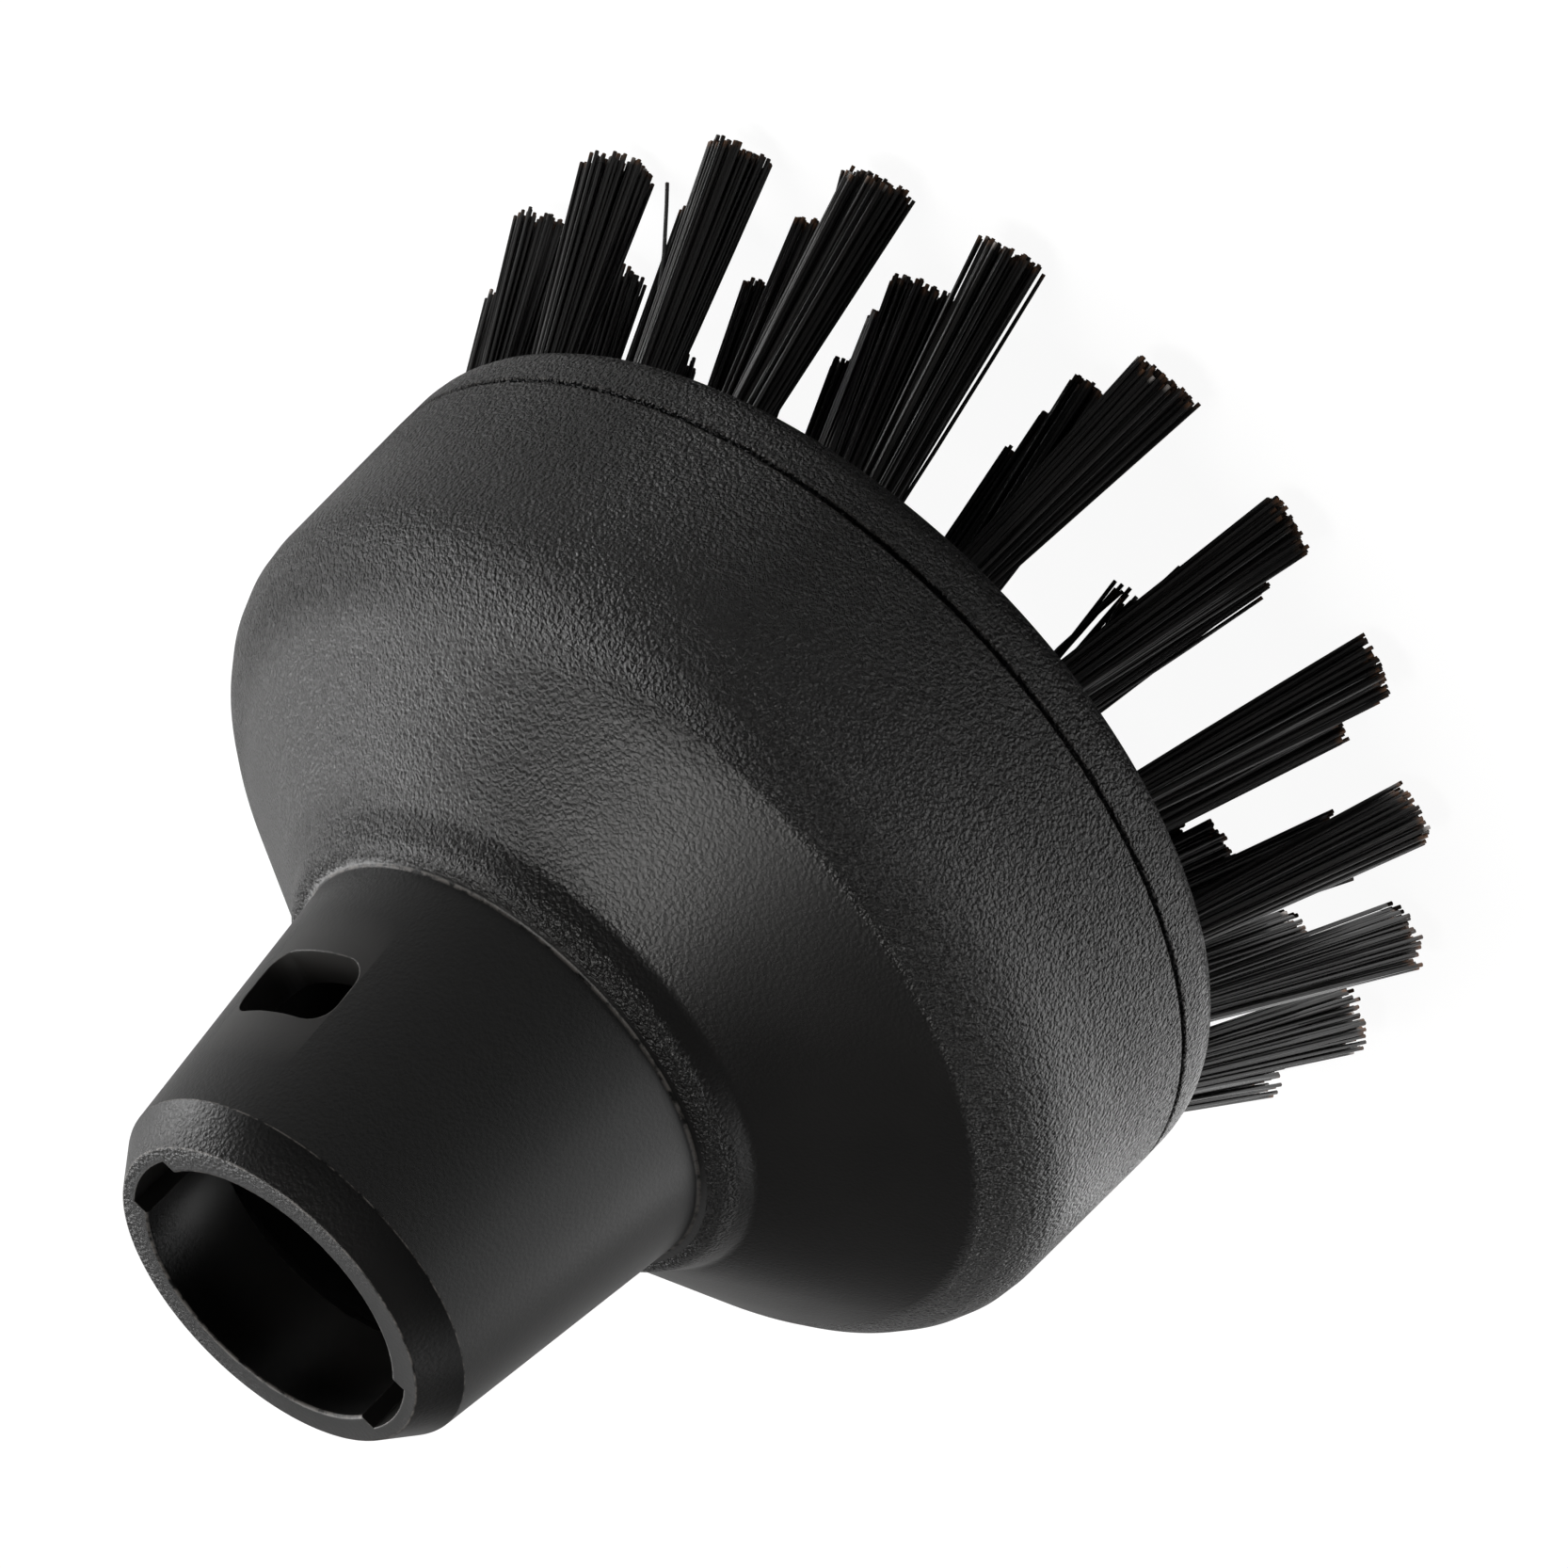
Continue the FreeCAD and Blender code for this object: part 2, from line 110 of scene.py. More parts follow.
def neck_outside(height):
    """Radius of the neck's outer face at a height."""
    return NECK_RADIUS - (NECK_RADIUS - NECK_END_RADIUS) * (height - NECK_START) / (NECK_END - NECK_START)


foot_height = cone_height(FOOT_RADIUS)
print(f"foot of the neck at {NECK_START / MM:.2f} mm, cone meets it at {foot_height / MM:.2f} mm")

# %% [markdown]
# ## Camera
# The camera comes first, because every later choice is judged through it. Its place and turn were worked out
# from the circles of the brush, which a perspective camera sees as ellipses: three directions of its own,
# right, up and back, and a place about three quarters of a metre away.

# %% Camera
def add_object(name, data):
    """An object of that data, linked to the scene."""
    made = bpy.data.objects.new(name, data)
    bpy.context.scene.collection.objects.link(made)
    return made


CAMERA_PLACE = Vector((-0.03998, -0.65065, SEAM + 0.3709))
CAMERA_RIGHT = Vector((-0.72731, -0.30714, -0.61375)).normalized()
CAMERA_BACK = Vector((-0.05300, -0.86647, 0.49641)).normalized()
CAMERA_UP = CAMERA_BACK.cross(CAMERA_RIGHT).normalized()

camera_data = bpy.data.cameras.new("camera")
camera_data.sensor_fit = "HORIZONTAL"
camera_data.sensor_width = 36.0
camera_data.lens = 276.9
camera_data.clip_start = 0.05
camera_data.clip_end = 10.0
camera = add_object("camera", camera_data)
camera_axes = Matrix((CAMERA_RIGHT, CAMERA_UP, CAMERA_BACK)).transposed()
camera.matrix_world = Matrix.Translation(CAMERA_PLACE) @ camera_axes.to_4x4()
bpy.context.scene.camera = camera
print("camera", [round(v, 4) for v in CAMERA_PLACE], "up", [round(v, 4) for v in CAMERA_UP])

# %% [markdown]
# ## Turned shapes
# The housing and the plate are turned shapes, so one outline spun round the axis makes each of them. A corner
# of the outline can carry a radius, which becomes a short arc with a support point just past each end. The
# supports keep the shading of the long faces flat right up to the arc. Two numbers go with every point:
# how deep the moulded grain is there, and how much the edge is rubbed.

# %% Outline with rounded corners
ARC_STEP = math.radians(14)
SUPPORT = 0.12
RUBBED_BELOW = 0.6 * MM
SEGMENTS = 720


def soften(corners):
    """Turns corners (radius, height, rounding, grain) into points (radius, height, grain, rub)."""
    points = []
    count = len(corners)
    for i, (across, up, rounding, grain) in enumerate(corners):
        here = Vector((across, up))
        before = Vector(corners[i - 1][:2]) - here
        after = Vector(corners[(i + 1) % count][:2]) - here
        if not rounding:
            points.append((across, up, grain, 0.0))
            continue
        half = before.angle(after) / 2
        run = rounding / math.tan(half)
        start = here + before.normalized() * run
        end = here + after.normalized() * run
        centre = here + (before.normalized() + after.normalized()).normalized() * rounding / math.sin(half)
        turn = (start - centre).angle_signed(end - centre)
        steps = max(2, round(abs(turn) / ARC_STEP))
        ahead = start + before.normalized() * SUPPORT * rounding
        points.append((ahead.x, ahead.y, grain, 0.0))
        for k in range(steps + 1):
            spoke = start - centre
            spoke.rotate(Matrix.Rotation(-turn * k / steps, 2))
            point = centre + spoke
            rub = math.sin(math.pi * (k + 0.5) / (steps + 1)) if rounding < RUBBED_BELOW else 0.0
            points.append((point.x, point.y, grain, rub))
        behind = end + after.normalized() * SUPPORT * rounding
        points.append((behind.x, behind.y, grain, 0.0))
    return points


def spin(name, outline):
    """A closed outline of (radius, height, grain, rub) points, turned once round the Z axis."""
    mesh = bpy.data.meshes.new(name)
    rings = len(outline)
    corners = []
    for k in range(SEGMENTS):
        turn = math.tau * k / SEGMENTS
        corners += [(r * math.cos(turn), r * math.sin(turn), z) for r, z, grain, rub in outline]
    faces = []
    for k in range(SEGMENTS):
        here, there = k * rings, (k + 1) % SEGMENTS * rings
        for i in range(rings):
            j = (i + 1) % rings
            faces.append((here + i, there + i, there + j, here + j))
    mesh.from_pydata(corners, [], faces)
    for label, column in (("grain", 2), ("rub", 3)):
        layer = mesh.attributes.new(label, "FLOAT", "POINT")
        layer.data.foreach_set("value", [point[column] for k in range(SEGMENTS) for point in outline])
    work = bmesh.new()
    work.from_mesh(mesh)
    bmesh.ops.recalc_face_normals(work, faces=work.faces)
    work.to_mesh(mesh)
    work.free()
    return add_object(name, mesh)


# %% [markdown]
# ## Housing
# One moulding: neck, ring at its foot, cone, shoulder and side. The outline runs up the outside from the seam
# and back down the inside. The grain is full on the bell and on the mouth's chamfer, faint on the neck,
# which is drawn from a smoother part of the tool, and absent inside.

# %% Housing outline
inside_radius = neck_outside(LIP_UNDER) - NECK_WALL
cone_wall = BELL_WALL / math.cos(CONE_SLOPE)
chamber_radius = BELL_RADIUS - SIDE_DRAFT - SIDE_WALL
socket_radius = BELL_RADIUS - REGISTER_WALL
CONE_OUTER, CONE_INNER = BELL_RADIUS - 5.5 * MM, FOOT_RADIUS + 2.0 * MM
housing_outline = soften(
    [
        (BELL_RADIUS, SEAM, 0.18 * MM, 3.4),
        (BELL_RADIUS - SIDE_DRAFT, SHOULDER, SHOULDER_ROUNDING, 1.65),
        (CONE_OUTER, cone_height(CONE_OUTER), 0.0, 0.75),
        (CONE_INNER, cone_height(CONE_INNER), 0.0, 0.75),
        (FOOT_RADIUS, cone_height(FOOT_RADIUS), 1.2 * MM, 1.2),
        (FOOT_EDGE_RADIUS, FOOT_TOP, 1.4 * MM, 1.5),
        (NECK_RADIUS, NECK_START, 0.25 * MM, 0.3),
        (NECK_END_RADIUS, NECK_END, 0.18 * MM, 0.3),
        (MOUTH_RADIUS, MOUTH, 0.16 * MM, 0.8),
        (BORE, MOUTH, 0.2 * MM, 0.2),
        (BORE, LIP_BACK, 0.12 * MM, 0.0),
        (BORE + 1.0 * MM, LIP_UNDER, 0.12 * MM, 0.0),
        (inside_radius, LIP_UNDER, 0.3 * MM, 0.0),
        (inside_radius, cone_height(inside_radius) - cone_wall, 0.8 * MM, 0.0),
        (chamber_radius, cone_height(chamber_radius) - cone_wall, 0.8 * MM, 0.0),
        (chamber_radius, PLATE_TOP, 0.2 * MM, 0.0),
        (socket_radius, PLATE_TOP, 0.0, 0.0),
        (socket_radius, SEAM, 0.2 * MM, 0.0),
    ]
)
housing = spin("housing_moulding", housing_outline)
print("housing:", len(housing.data.vertices), "vertices,", len(housing_outline), "points round the outline")

# %% [markdown]
# The two keyways and the two latch windows are cut with Boolean modifiers, each by a solid of the shape of
# the core pin that leaves the opening in the real moulding. A helper makes such a pin from a flat outline,
# and the modifier is turned into plain mesh at once, so that no live modifier is left on the piece.

# %% Cutting tools
WINDOW_WIDTH, WINDOW_HEIGHT, WINDOW_CORNER = 8.6 * MM, 5.1 * MM, 1.7 * MM
WINDOW_TOP = MOUTH - 9.98 * MM
CORNER_STEPS = 6
WINDOW_TURN = math.radians(34.5)
KEYWAY_WIDTH, KEYWAY_RADIUS = 6.6 * MM, BORE + 1.0 * MM
KEYWAY_STEPS = 8
PIN_START, PIN_LENGTH, PIN_OVERRUN = 8 * MM, 10 * MM, 0.3 * MM


def pin(name, outline, axes, start, length):
    """A solid from a flat outline of (u, v) points: axes are the directions of u, v and of its length."""
    across, up, along = (Vector(axis) for axis in axes)
    work = bmesh.new()
    near = [work.verts.new(across * u + up * v + along * start) for u, v in outline]
    far = [work.verts.new(across * u + up * v + along * (start + length)) for u, v in outline]
    work.faces.new(near)
    work.faces.new(list(reversed(far)))
    count = len(outline)
    for i in range(count):
        j = (i + 1) % count
        work.faces.new((near[j], near[i], far[i], far[j]))
    bmesh.ops.recalc_face_normals(work, faces=work.faces)
    mesh = bpy.data.meshes.new(name)
    work.to_mesh(mesh)
    work.free()
    return add_object(name, mesh)


def plain_mesh(piece):
    """Replaces the piece by what its modifiers make of it, as a plain mesh with no modifier."""
    depsgraph = bpy.context.evaluated_depsgraph_get()
    mesh = bpy.data.meshes.new_from_object(piece.evaluated_get(depsgraph), depsgraph=depsgraph)
    mesh.name = piece.name
    piece.modifiers.clear()
    piece.data = mesh
    return piece


def cut(piece, tools):
    """Takes the tools' shapes out of the piece, then removes the tools."""
    for tool in tools:
        modifier = piece.modifiers.new(tool.name, "BOOLEAN")
        modifier.operation = "DIFFERENCE"
        modifier.solver = "EXACT"
        modifier.object = tool
    plain_mesh(piece)
    for tool in tools:
        bpy.data.objects.remove(tool)


def rounded_window(width, height, corner, middle):
    """Outline of a window with rounded corners, centred on u = 0 and on v = middle."""
    points = []
    for quarter in range(4):
        side = 1 if quarter in (0, 3) else -1
        level = 1 if quarter in (0, 1) else -1
        for k in range(CORNER_STEPS + 1):
            turn = math.pi / 2 * (quarter + k / CORNER_STEPS)
            u = side * (width / 2 - corner) + corner * math.cos(turn)
            v = middle + level * (height / 2 - corner) + corner * math.sin(turn)
            points.append((u, v))
    return points


# %% Windows and keyways
window = rounded_window(WINDOW_WIDTH, WINDOW_HEIGHT, WINDOW_CORNER, WINDOW_TOP - WINDOW_HEIGHT / 2)
tools = []
for side in (0, math.pi):
    outward = (math.cos(side - WINDOW_TURN), math.sin(side - WINDOW_TURN), 0)
    sideways = (-outward[1], outward[0], 0)
    axes = (sideways, (0, 0, 1), outward)
    tools.append(pin(f"window_pin_{len(tools)}", window, axes, PIN_START, PIN_LENGTH))
swing = math.asin(KEYWAY_WIDTH / 2 / KEYWAY_RADIUS)
arc = [swing * (k / KEYWAY_STEPS - 1) for k in range(2 * KEYWAY_STEPS + 1)]
slot = [(KEYWAY_RADIUS * math.cos(t), KEYWAY_RADIUS * math.sin(t)) for t in arc]
slot += [(-u, -v) for u, v in slot]
upright = ((1, 0, 0), (0, 1, 0), (0, 0, 1))
tools.append(pin("keyway_pin", slot, upright, LIP_UNDER - PIN_OVERRUN, PIN_LENGTH))
cut(housing, tools)
print("housing after its cuts:", len(housing.data.polygons), "faces")

# %% [markdown]
# ## Node helpers
# Both kinds of tree, geometry and shading, are built in the script from the same few helpers. A tree can be
# read and changed later in the node editor, and its inputs have names, so the sizes stay in one place.

# %% Node helpers
def free_slot(slots, name):
    """The socket of that name which the node's settings leave in use."""
    return next(s for s in slots if s.name == name and s.enabled)


def feed(tree, slot, value):
    """Links a socket to a slot, or sets a plain value on it."""
    if isinstance(value, bpy.types.NodeSocket):
        tree.links.new(value, slot)
    else:
        slot.default_value = value


def node(tree, kind, inputs=None, **settings):
    """Adds a node, sets its properties, then its inputs: each a socket to link or a plain value."""
    made = tree.nodes.new(kind)
    for name, value in settings.items():
        setattr(made, name, value)
    for name, value in (inputs or {}).items():
        feed(tree, free_slot(made.inputs, name), value)
    return made


def maths(tree, operation, *operands):
    """A Math node whose operands are sockets or plain numbers; gives its result."""
    made = node(tree, "ShaderNodeMath", operation=operation)
    for slot, value in zip(made.inputs, operands):
        feed(tree, slot, value)
    return made.outputs[0]


def vector_maths(tree, operation, *operands, scale=None):
    """A Vector Math node; gives its result."""
    made = node(tree, "ShaderNodeVectorMath", operation=operation)
    for slot, value in zip(made.inputs, operands):
        feed(tree, slot, value)
    if scale is not None:
        feed(tree, made.inputs["Scale"], scale)
    return made.outputs["Value" if operation == "DOT_PRODUCT" else "Vector"]


def new_tree(kind, name, inputs, output, output_kind):
    """A tree with named inputs and one output; gives it, its own inputs and its output's slot."""
    tree = bpy.data.node_groups.new(name, kind)
    for label, (socket, default) in inputs.items():
        made = tree.interface.new_socket(label, in_out="INPUT", socket_type="NodeSocket" + socket)
        if default is not None:
            made.default_value = default
    tree.interface.new_socket(output, in_out="OUTPUT", socket_type="NodeSocket" + output_kind)
    return tree, node(tree, "NodeGroupInput").outputs, node(tree, "NodeGroupOutput").inputs[output]


# %% [markdown]
# The geometry trees need a few more: to read or keep a number on every point, to make the cloud of points
# that a tree starts from, and to run a tree and keep only the mesh that it makes.

# %% Geometry node helpers
def shape(tree, kind, inputs=None, **settings):
    """A Geometry node, named without its prefix; gives its first output."""
    return node(tree, "GeometryNode" + kind, inputs, **settings).outputs[0]


def join(tree, *parts):
    """A Join Geometry node; gives the joined geometry."""
    made = node(tree, "GeometryNodeJoinGeometry")
    for part in parts:
        tree.links.new(part, made.inputs["Geometry"])
    return made.outputs[0]


def read(tree, name, kind="FLOAT_VECTOR"):
    """A Named Attribute node; gives its value."""
    return shape(tree, "InputNamedAttribute", {"Name": name}, data_type=kind)


def keep(tree, geometry, name, value, kind="FLOAT_VECTOR"):
    """Stores a value on the points under a name; gives the geometry on."""
    inputs = {"Geometry": geometry, "Name": name, "Value": value}
    return shape(tree, "StoreNamedAttribute", inputs, data_type=kind, domain="POINT")


def coat(tree, geometry, given):
    """Makes every instance real and sets the material; gives the geometry on."""
    real = shape(tree, "RealizeInstances", {"Geometry": geometry})
    return shape(tree, "SetMaterial", {"Geometry": real, "Material": given["Material"]})


def set_inputs(modifier, values):
    """Sets a tree's inputs on its modifier, each by its socket's identifier."""
    for item in modifier.node_group.interface.items_tree:
        if item.in_out == "INPUT" and item.name in values:
            modifier[item.identifier] = values[item.name]


def cloud(name, places, vectors, floats=None):
    """A mesh of loose points with named vector and float attributes."""
    mesh = bpy.data.meshes.new(name)
    mesh.from_pydata([tuple(p) for p in places], [], [])
    for label, rows in vectors.items():
        layer = mesh.attributes.new(label, "FLOAT_VECTOR", "POINT")
        layer.data.foreach_set("vector", [v for row in rows for v in row])
    for label, rows in (floats or {}).items():
        layer = mesh.attributes.new(label, "FLOAT", "POINT")
        layer.data.foreach_set("value", rows)
    return add_object(name, mesh)


def grow(piece, tree, values):
    """Runs a tree on a piece with its inputs set, and turns the result into plain mesh."""
    modifier = piece.modifiers.new(tree.name, "NODES")
    modifier.node_group = tree
    set_inputs(modifier, values)
    return plain_mesh(piece)


# %% [markdown]
# ## Finishes
# Two finishes cover almost all that shows: grained black plastic and black nylon. Effects that both mouldings
# share are node groups, built once: the leathery grain, and a light dusting.

# %% Shader helpers
def noise(tree, vector, scale, detail=2.0, roughness=0.5, output="Fac"):
    """A Noise Texture node; scale is in cycles per metre."""
    inputs = {"Vector": vector, "Scale": scale, "Detail": detail, "Roughness": roughness}
    return node(tree, "ShaderNodeTexNoise", inputs).outputs[output]


def ramp(tree, value, low, high, to_low=0.0, to_high=1.0):
    """A Map Range node, clamped; gives its result."""
    inputs = {"Value": value, "From Min": low, "From Max": high, "To Min": to_low, "To Max": to_high}
    return node(tree, "ShaderNodeMapRange", inputs).outputs["Result"]


def mix_colour(tree, factor, first, second):
    """A Mix node on two colours, each a socket or three numbers; gives its result."""
    first, second = ((*c, 1.0) if isinstance(c, tuple) else c for c in (first, second))
    made = node(tree, "ShaderNodeMix", {"Factor": factor, "A": first, "B": second}, data_type="RGBA")
    return free_slot(made.outputs, "Result")


def bump(tree, height, distance, strength, normal=None):
    """A Bump node; gives the bent normal."""
    inputs = {"Height": height, "Distance": distance, "Strength": strength}
    if normal is not None:
        inputs["Normal"] = normal
    return node(tree, "ShaderNodeBump", inputs).outputs["Normal"]


def here(tree):
    """The Object coordinates, which stay with the piece."""
    return node(tree, "ShaderNodeTexCoord").outputs["Object"]


def painted(tree, name):
    """An Attribute node; gives the number that the mesh carries under that name."""
    return node(tree, "ShaderNodeAttribute", attribute_type="GEOMETRY", attribute_name=name).outputs["Fac"]


def new_material(name, shader="ShaderNodeBsdfPrincipled"):
    """A material with one shader in it; gives it with its tree and the shader's inputs."""
    material = bpy.data.materials.new(name)
    material.use_nodes = True
    tree = material.node_tree
    tree.nodes.clear()
    skin = node(tree, shader)
    node(tree, "ShaderNodeOutputMaterial", {"Surface": skin.outputs[0]})
    return material, tree, skin.inputs


# %% [markdown]
# The grain is that of etched tool steel: shallow pebbles about a third of a millimetre across with fine
# creases between them. A Voronoi pattern gives the pebbles, a noise bends them, and a finer noise roughens
# them. The dust is a second Voronoi pattern, in which only a few cells hold a speck.

# %% Grain and dust groups
GRAIN_PER_METRE, GRAIN_BEND = 3500.0, 0.35
SPECKS_PER_METRE, SPECK_SIZE, SPECK_CHANCE = 260.0, 0.02, 0.82


def grain_group():
    """Height of the moulded grain, from 0 in its creases to 1 on its pebbles."""
    inputs = {"Pebbles per metre": ("Float", GRAIN_PER_METRE), "Bend": ("Float", GRAIN_BEND)}
    tree, given, out = new_tree("ShaderNodeTree", "mould_grain", inputs, "Height", "Float")
    scaled = vector_maths(tree, "SCALE", here(tree), scale=given["Pebbles per metre"])
    bend = noise(tree, scaled, 0.8, output="Color")
    centred = vector_maths(tree, "SUBTRACT", bend, (0.5, 0.5, 0.5))
    pushed = vector_maths(tree, "SCALE", centred, scale=maths(tree, "MULTIPLY", given["Bend"], 4.0))
    moved = vector_maths(tree, "ADD", scaled, pushed)
    cells = node(tree, "ShaderNodeTexVoronoi", {"Vector": moved, "Scale": 1.0}, feature="F1").outputs
    pebble = ramp(tree, cells["Distance"], 0.15, 0.75, 1.0, 0.0)
    fine = noise(tree, moved, 1.6, 3.0, 0.6)
    height = maths(tree, "ADD", maths(tree, "MULTIPLY", pebble, 0.55), maths(tree, "MULTIPLY", fine, 0.45))
    tree.links.new(height, out)
    return tree


def dust_group():
    """Sparse pale specks, as lint and plastic dust leave on a black moulding."""
    inputs = {"Specks per metre": ("Float", SPECKS_PER_METRE), "Size": ("Float", SPECK_SIZE)}
    tree, given, out = new_tree("ShaderNodeTree", "dust_specks", inputs, "Mask", "Float")
    inputs = {"Vector": here(tree), "Scale": given["Specks per metre"]}
    cells = node(tree, "ShaderNodeTexVoronoi", inputs, feature="F1").outputs
    chosen = node(tree, "ShaderNodeSeparateColor", {"Color": cells["Color"]}).outputs
    some = maths(tree, "GREATER_THAN", chosen["Red"], SPECK_CHANCE)
    size = maths(tree, "MULTIPLY", given["Size"], chosen["Green"])
    near = maths(tree, "LESS_THAN", cells["Distance"], size)
    tree.links.new(maths(tree, "MULTIPLY", some, near), out)
    return tree


GRAIN, DUST = grain_group(), dust_group()


def use_group(tree, group):
    """Places a group in a tree; gives its first output."""
    return node(tree, "ShaderNodeGroup", node_tree=group).outputs[0]


# %% [markdown]
# The plastic material puts them together. The `grain` number painted on the mesh sets the depth of the bump,
# `rub` makes rubbed edges paler, and a Bevel node rounds the shading of the cut edges of windows and keyways.
# Where the rounded and the true face look apart there is an edge, and it gets the same pale colour as a
# painted highlight. A low `grain` number also gives the neck its painted shade, and none gives the inner
# faces their painted light.

# %% Black plastic
BODY_DARK, BODY_LIGHT = (0.0085, 0.0082, 0.0082), (0.013, 0.0122, 0.0118)
# painted shade for the neck, and painted light for the faces without grain
NECK_PAINTED_SHADE, INSIDE_PAINTED_LIGHT = (0.002, 0.002, 0.002), (0.024, 0.023, 0.022)
# the pale colour serves both the rubbed edges and the painted highlight on the cut edges
RUB_AND_HIGHLIGHT, DUST_GREY = (0.15, 0.138, 0.128), (0.28, 0.27, 0.25)
CLOUDS, SCUFFS, TOOTH = 90.0, 1400.0, 9000.0
GRAIN_DEPTH, TOOTH_DEPTH = 0.3 * MM, 0.008 * MM
SMOOTH_SIDE, GRAINED_SIDE = -6 * MM, 20 * MM


def black_plastic(name, edge_radius):
    """Moulded black plastic with grain, rubbed edges and a little dust, painted shade on the neck, painted
    light on the faces without grain and painted highlights on the cut edges.
    """
    material, tree, skin = new_material(name)
    place, depth = here(tree), painted(tree, "grain")
    cloudy = noise(tree, place, CLOUDS, 3.0)
    scuffed = noise(tree, place, SCUFFS, 3.0, 0.6)
    inside = ramp(tree, depth, 0.15, 0.05)
    smooth = maths(tree, "MAXIMUM", ramp(tree, depth, 0.3, 0.7), inside)
    colour = mix_colour(tree, cloudy, BODY_DARK, BODY_LIGHT)
    # painted shade: the neck, where the grain number is low, gets a darker base colour than the rest of the
    # moulding
    colour = mix_colour(tree, smooth, NECK_PAINTED_SHADE, colour)
    # painted light: the faces without grain, the bore's inside among them, get a lighter base colour
    colour = mix_colour(tree, inside, colour, INSIDE_PAINTED_LIGHT)
    worn = maths(tree, "MULTIPLY", painted(tree, "rub"), ramp(tree, scuffed, 0.4, 0.56))
    colour = mix_colour(tree, maths(tree, "MULTIPLY", worn, 0.9), colour, RUB_AND_HIGHLIGHT)
    colour = mix_colour(tree, use_group(tree, DUST), colour, DUST_GREY)

    bevel = node(tree, "ShaderNodeBevel", {"Radius": edge_radius}, samples=4).outputs["Normal"]
    true_normal = node(tree, "ShaderNodeNewGeometry").outputs["Normal"]
    facing = vector_maths(tree, "DOT_PRODUCT", bevel, true_normal)
    # painted highlight: a pale line along the cut edges of windows and keyways, patchy with the scuffs
    edge = maths(tree, "MULTIPLY", ramp(tree, facing, 0.99, 0.92), ramp(tree, scuffed, 0.4, 0.52))
    colour = mix_colour(tree, maths(tree, "MULTIPLY", edge, 0.8), colour, RUB_AND_HIGHLIGHT)
    feed(tree, skin["Base Color"], colour)

    steep = ramp(tree, depth, 1.3, 1.6)
    rough = maths(tree, "ADD", ramp(tree, cloudy, 0.3, 0.7, 0.35, 0.41), maths(tree, "MULTIPLY", worn, 0.1))
    rough = maths(tree, "SUBTRACT", rough, maths(tree, "MULTIPLY", steep, 0.06))
    feed(tree, skin["Roughness"], rough)
    skin["Specular IOR Level"].default_value = 0.5
    skin["IOR"].default_value = 1.5

    across = node(tree, "ShaderNodeSeparateXYZ", {"Vector": place}).outputs["X"]
    handled = ramp(tree, across, SMOOTH_SIDE, GRAINED_SIDE, 0.16, 1.15)
    handled = maths(tree, "MAXIMUM", handled, maths(tree, "MULTIPLY", steep, 1.2))
    handled = maths(tree, "MAXIMUM", handled, ramp(tree, depth, 1.6, 2.6, 0.0, 2.4))
    depth = maths(tree, "MULTIPLY", maths(tree, "MULTIPLY", depth, handled), 0.5)
    pebbled = bump(tree, use_group(tree, GRAIN), GRAIN_DEPTH, depth, bevel)
    toothed = bump(tree, noise(tree, place, TOOTH, 2.0, 0.6), TOOTH_DEPTH, 0.5, pebbled)
    feed(tree, skin["Normal"], toothed)
    return material


plastic = black_plastic("grained_black_plastic", 0.12 * MM)


# %% [markdown]
# Nylon filament is drawn, so it is smooth along its length and shines in lines. The cut end of each one is
# painted with light: brown for the light that comes through the thin torn edge, and on a few a near-white
# painted highlight. The anchors are flat drawn wire, a bright metal with fine lines.

# %% Black nylon and anchor wire
NYLON_DARK, NYLON_LIGHT = (0.007, 0.007, 0.007), (0.018, 0.017, 0.0165)
# cut ends: brown painted light for light through the thin ends, and a near-white painted highlight
END_GLOW_DARK, END_GLOW_LIGHT, END_HIGHLIGHT = (0.02, 0.012, 0.008), (0.16, 0.075, 0.035), (0.45, 0.42, 0.4)
WIRE_DARK, WIRE_LIGHT = (0.5, 0.49, 0.47), (0.68, 0.67, 0.65)
DRAWN_LINES, DRAWN_DEPTH, WIRE_LINES = 2500.0, 0.01 * MM, 6000.0


def black_nylon():
    """Drawn black filament with cut ends painted brown for light through them, a few near white as painted
    highlights.
    """
    material, tree, skin = new_material("black_nylon_filament")
    shade = painted(tree, "shade")
    end = ramp(tree, painted(tree, "along"), 0.975, 0.995)
    colour = mix_colour(tree, shade, NYLON_DARK, NYLON_LIGHT)
    # painted light at the cut ends: brown, and near white on a few filaments as a painted highlight
    end_light = mix_colour(tree, ramp(tree, shade, 0.25, 0.95), END_GLOW_DARK, END_GLOW_LIGHT)
    end_light = mix_colour(tree, ramp(tree, shade, 0.93, 0.97), end_light, END_HIGHLIGHT)
    feed(tree, skin["Base Color"], mix_colour(tree, end, colour, end_light))
    rough = ramp(tree, shade, 0.0, 1.0, 0.24, 0.4)
    feed(tree, skin["Roughness"], maths(tree, "ADD", rough, maths(tree, "MULTIPLY", end, 0.2)))
    feed(tree, skin["Normal"], bump(tree, noise(tree, here(tree), DRAWN_LINES), DRAWN_DEPTH, 0.5))
    return material


def anchor_metal():
    """Flat drawn wire: fine brushed lines across a bright metal."""
    material, tree, skin = new_material("anchor_wire")
    skin["Metallic"].default_value = 1.0
    lines = noise(tree, here(tree), WIRE_LINES)
    feed(tree, skin["Base Color"], mix_colour(tree, lines, WIRE_DARK, WIRE_LIGHT))
    feed(tree, skin["Roughness"], ramp(tree, lines, 0.3, 0.7, 0.3, 0.45))
    return material


nylon, wire = black_nylon(), anchor_metal()

# %% [markdown]
# ## Seats of the tufts
# Four rings of tufts stand in blind holes of the plate. A small cloud of points describes them all: where
# each tuft leaves the plate, which way it aims and how much it fans out. A machine fills such a brush, but
# no tuft points exactly where its hole does. The tufts that show in the photograph have the lean they have
# there, the others get chance ones of the same size.

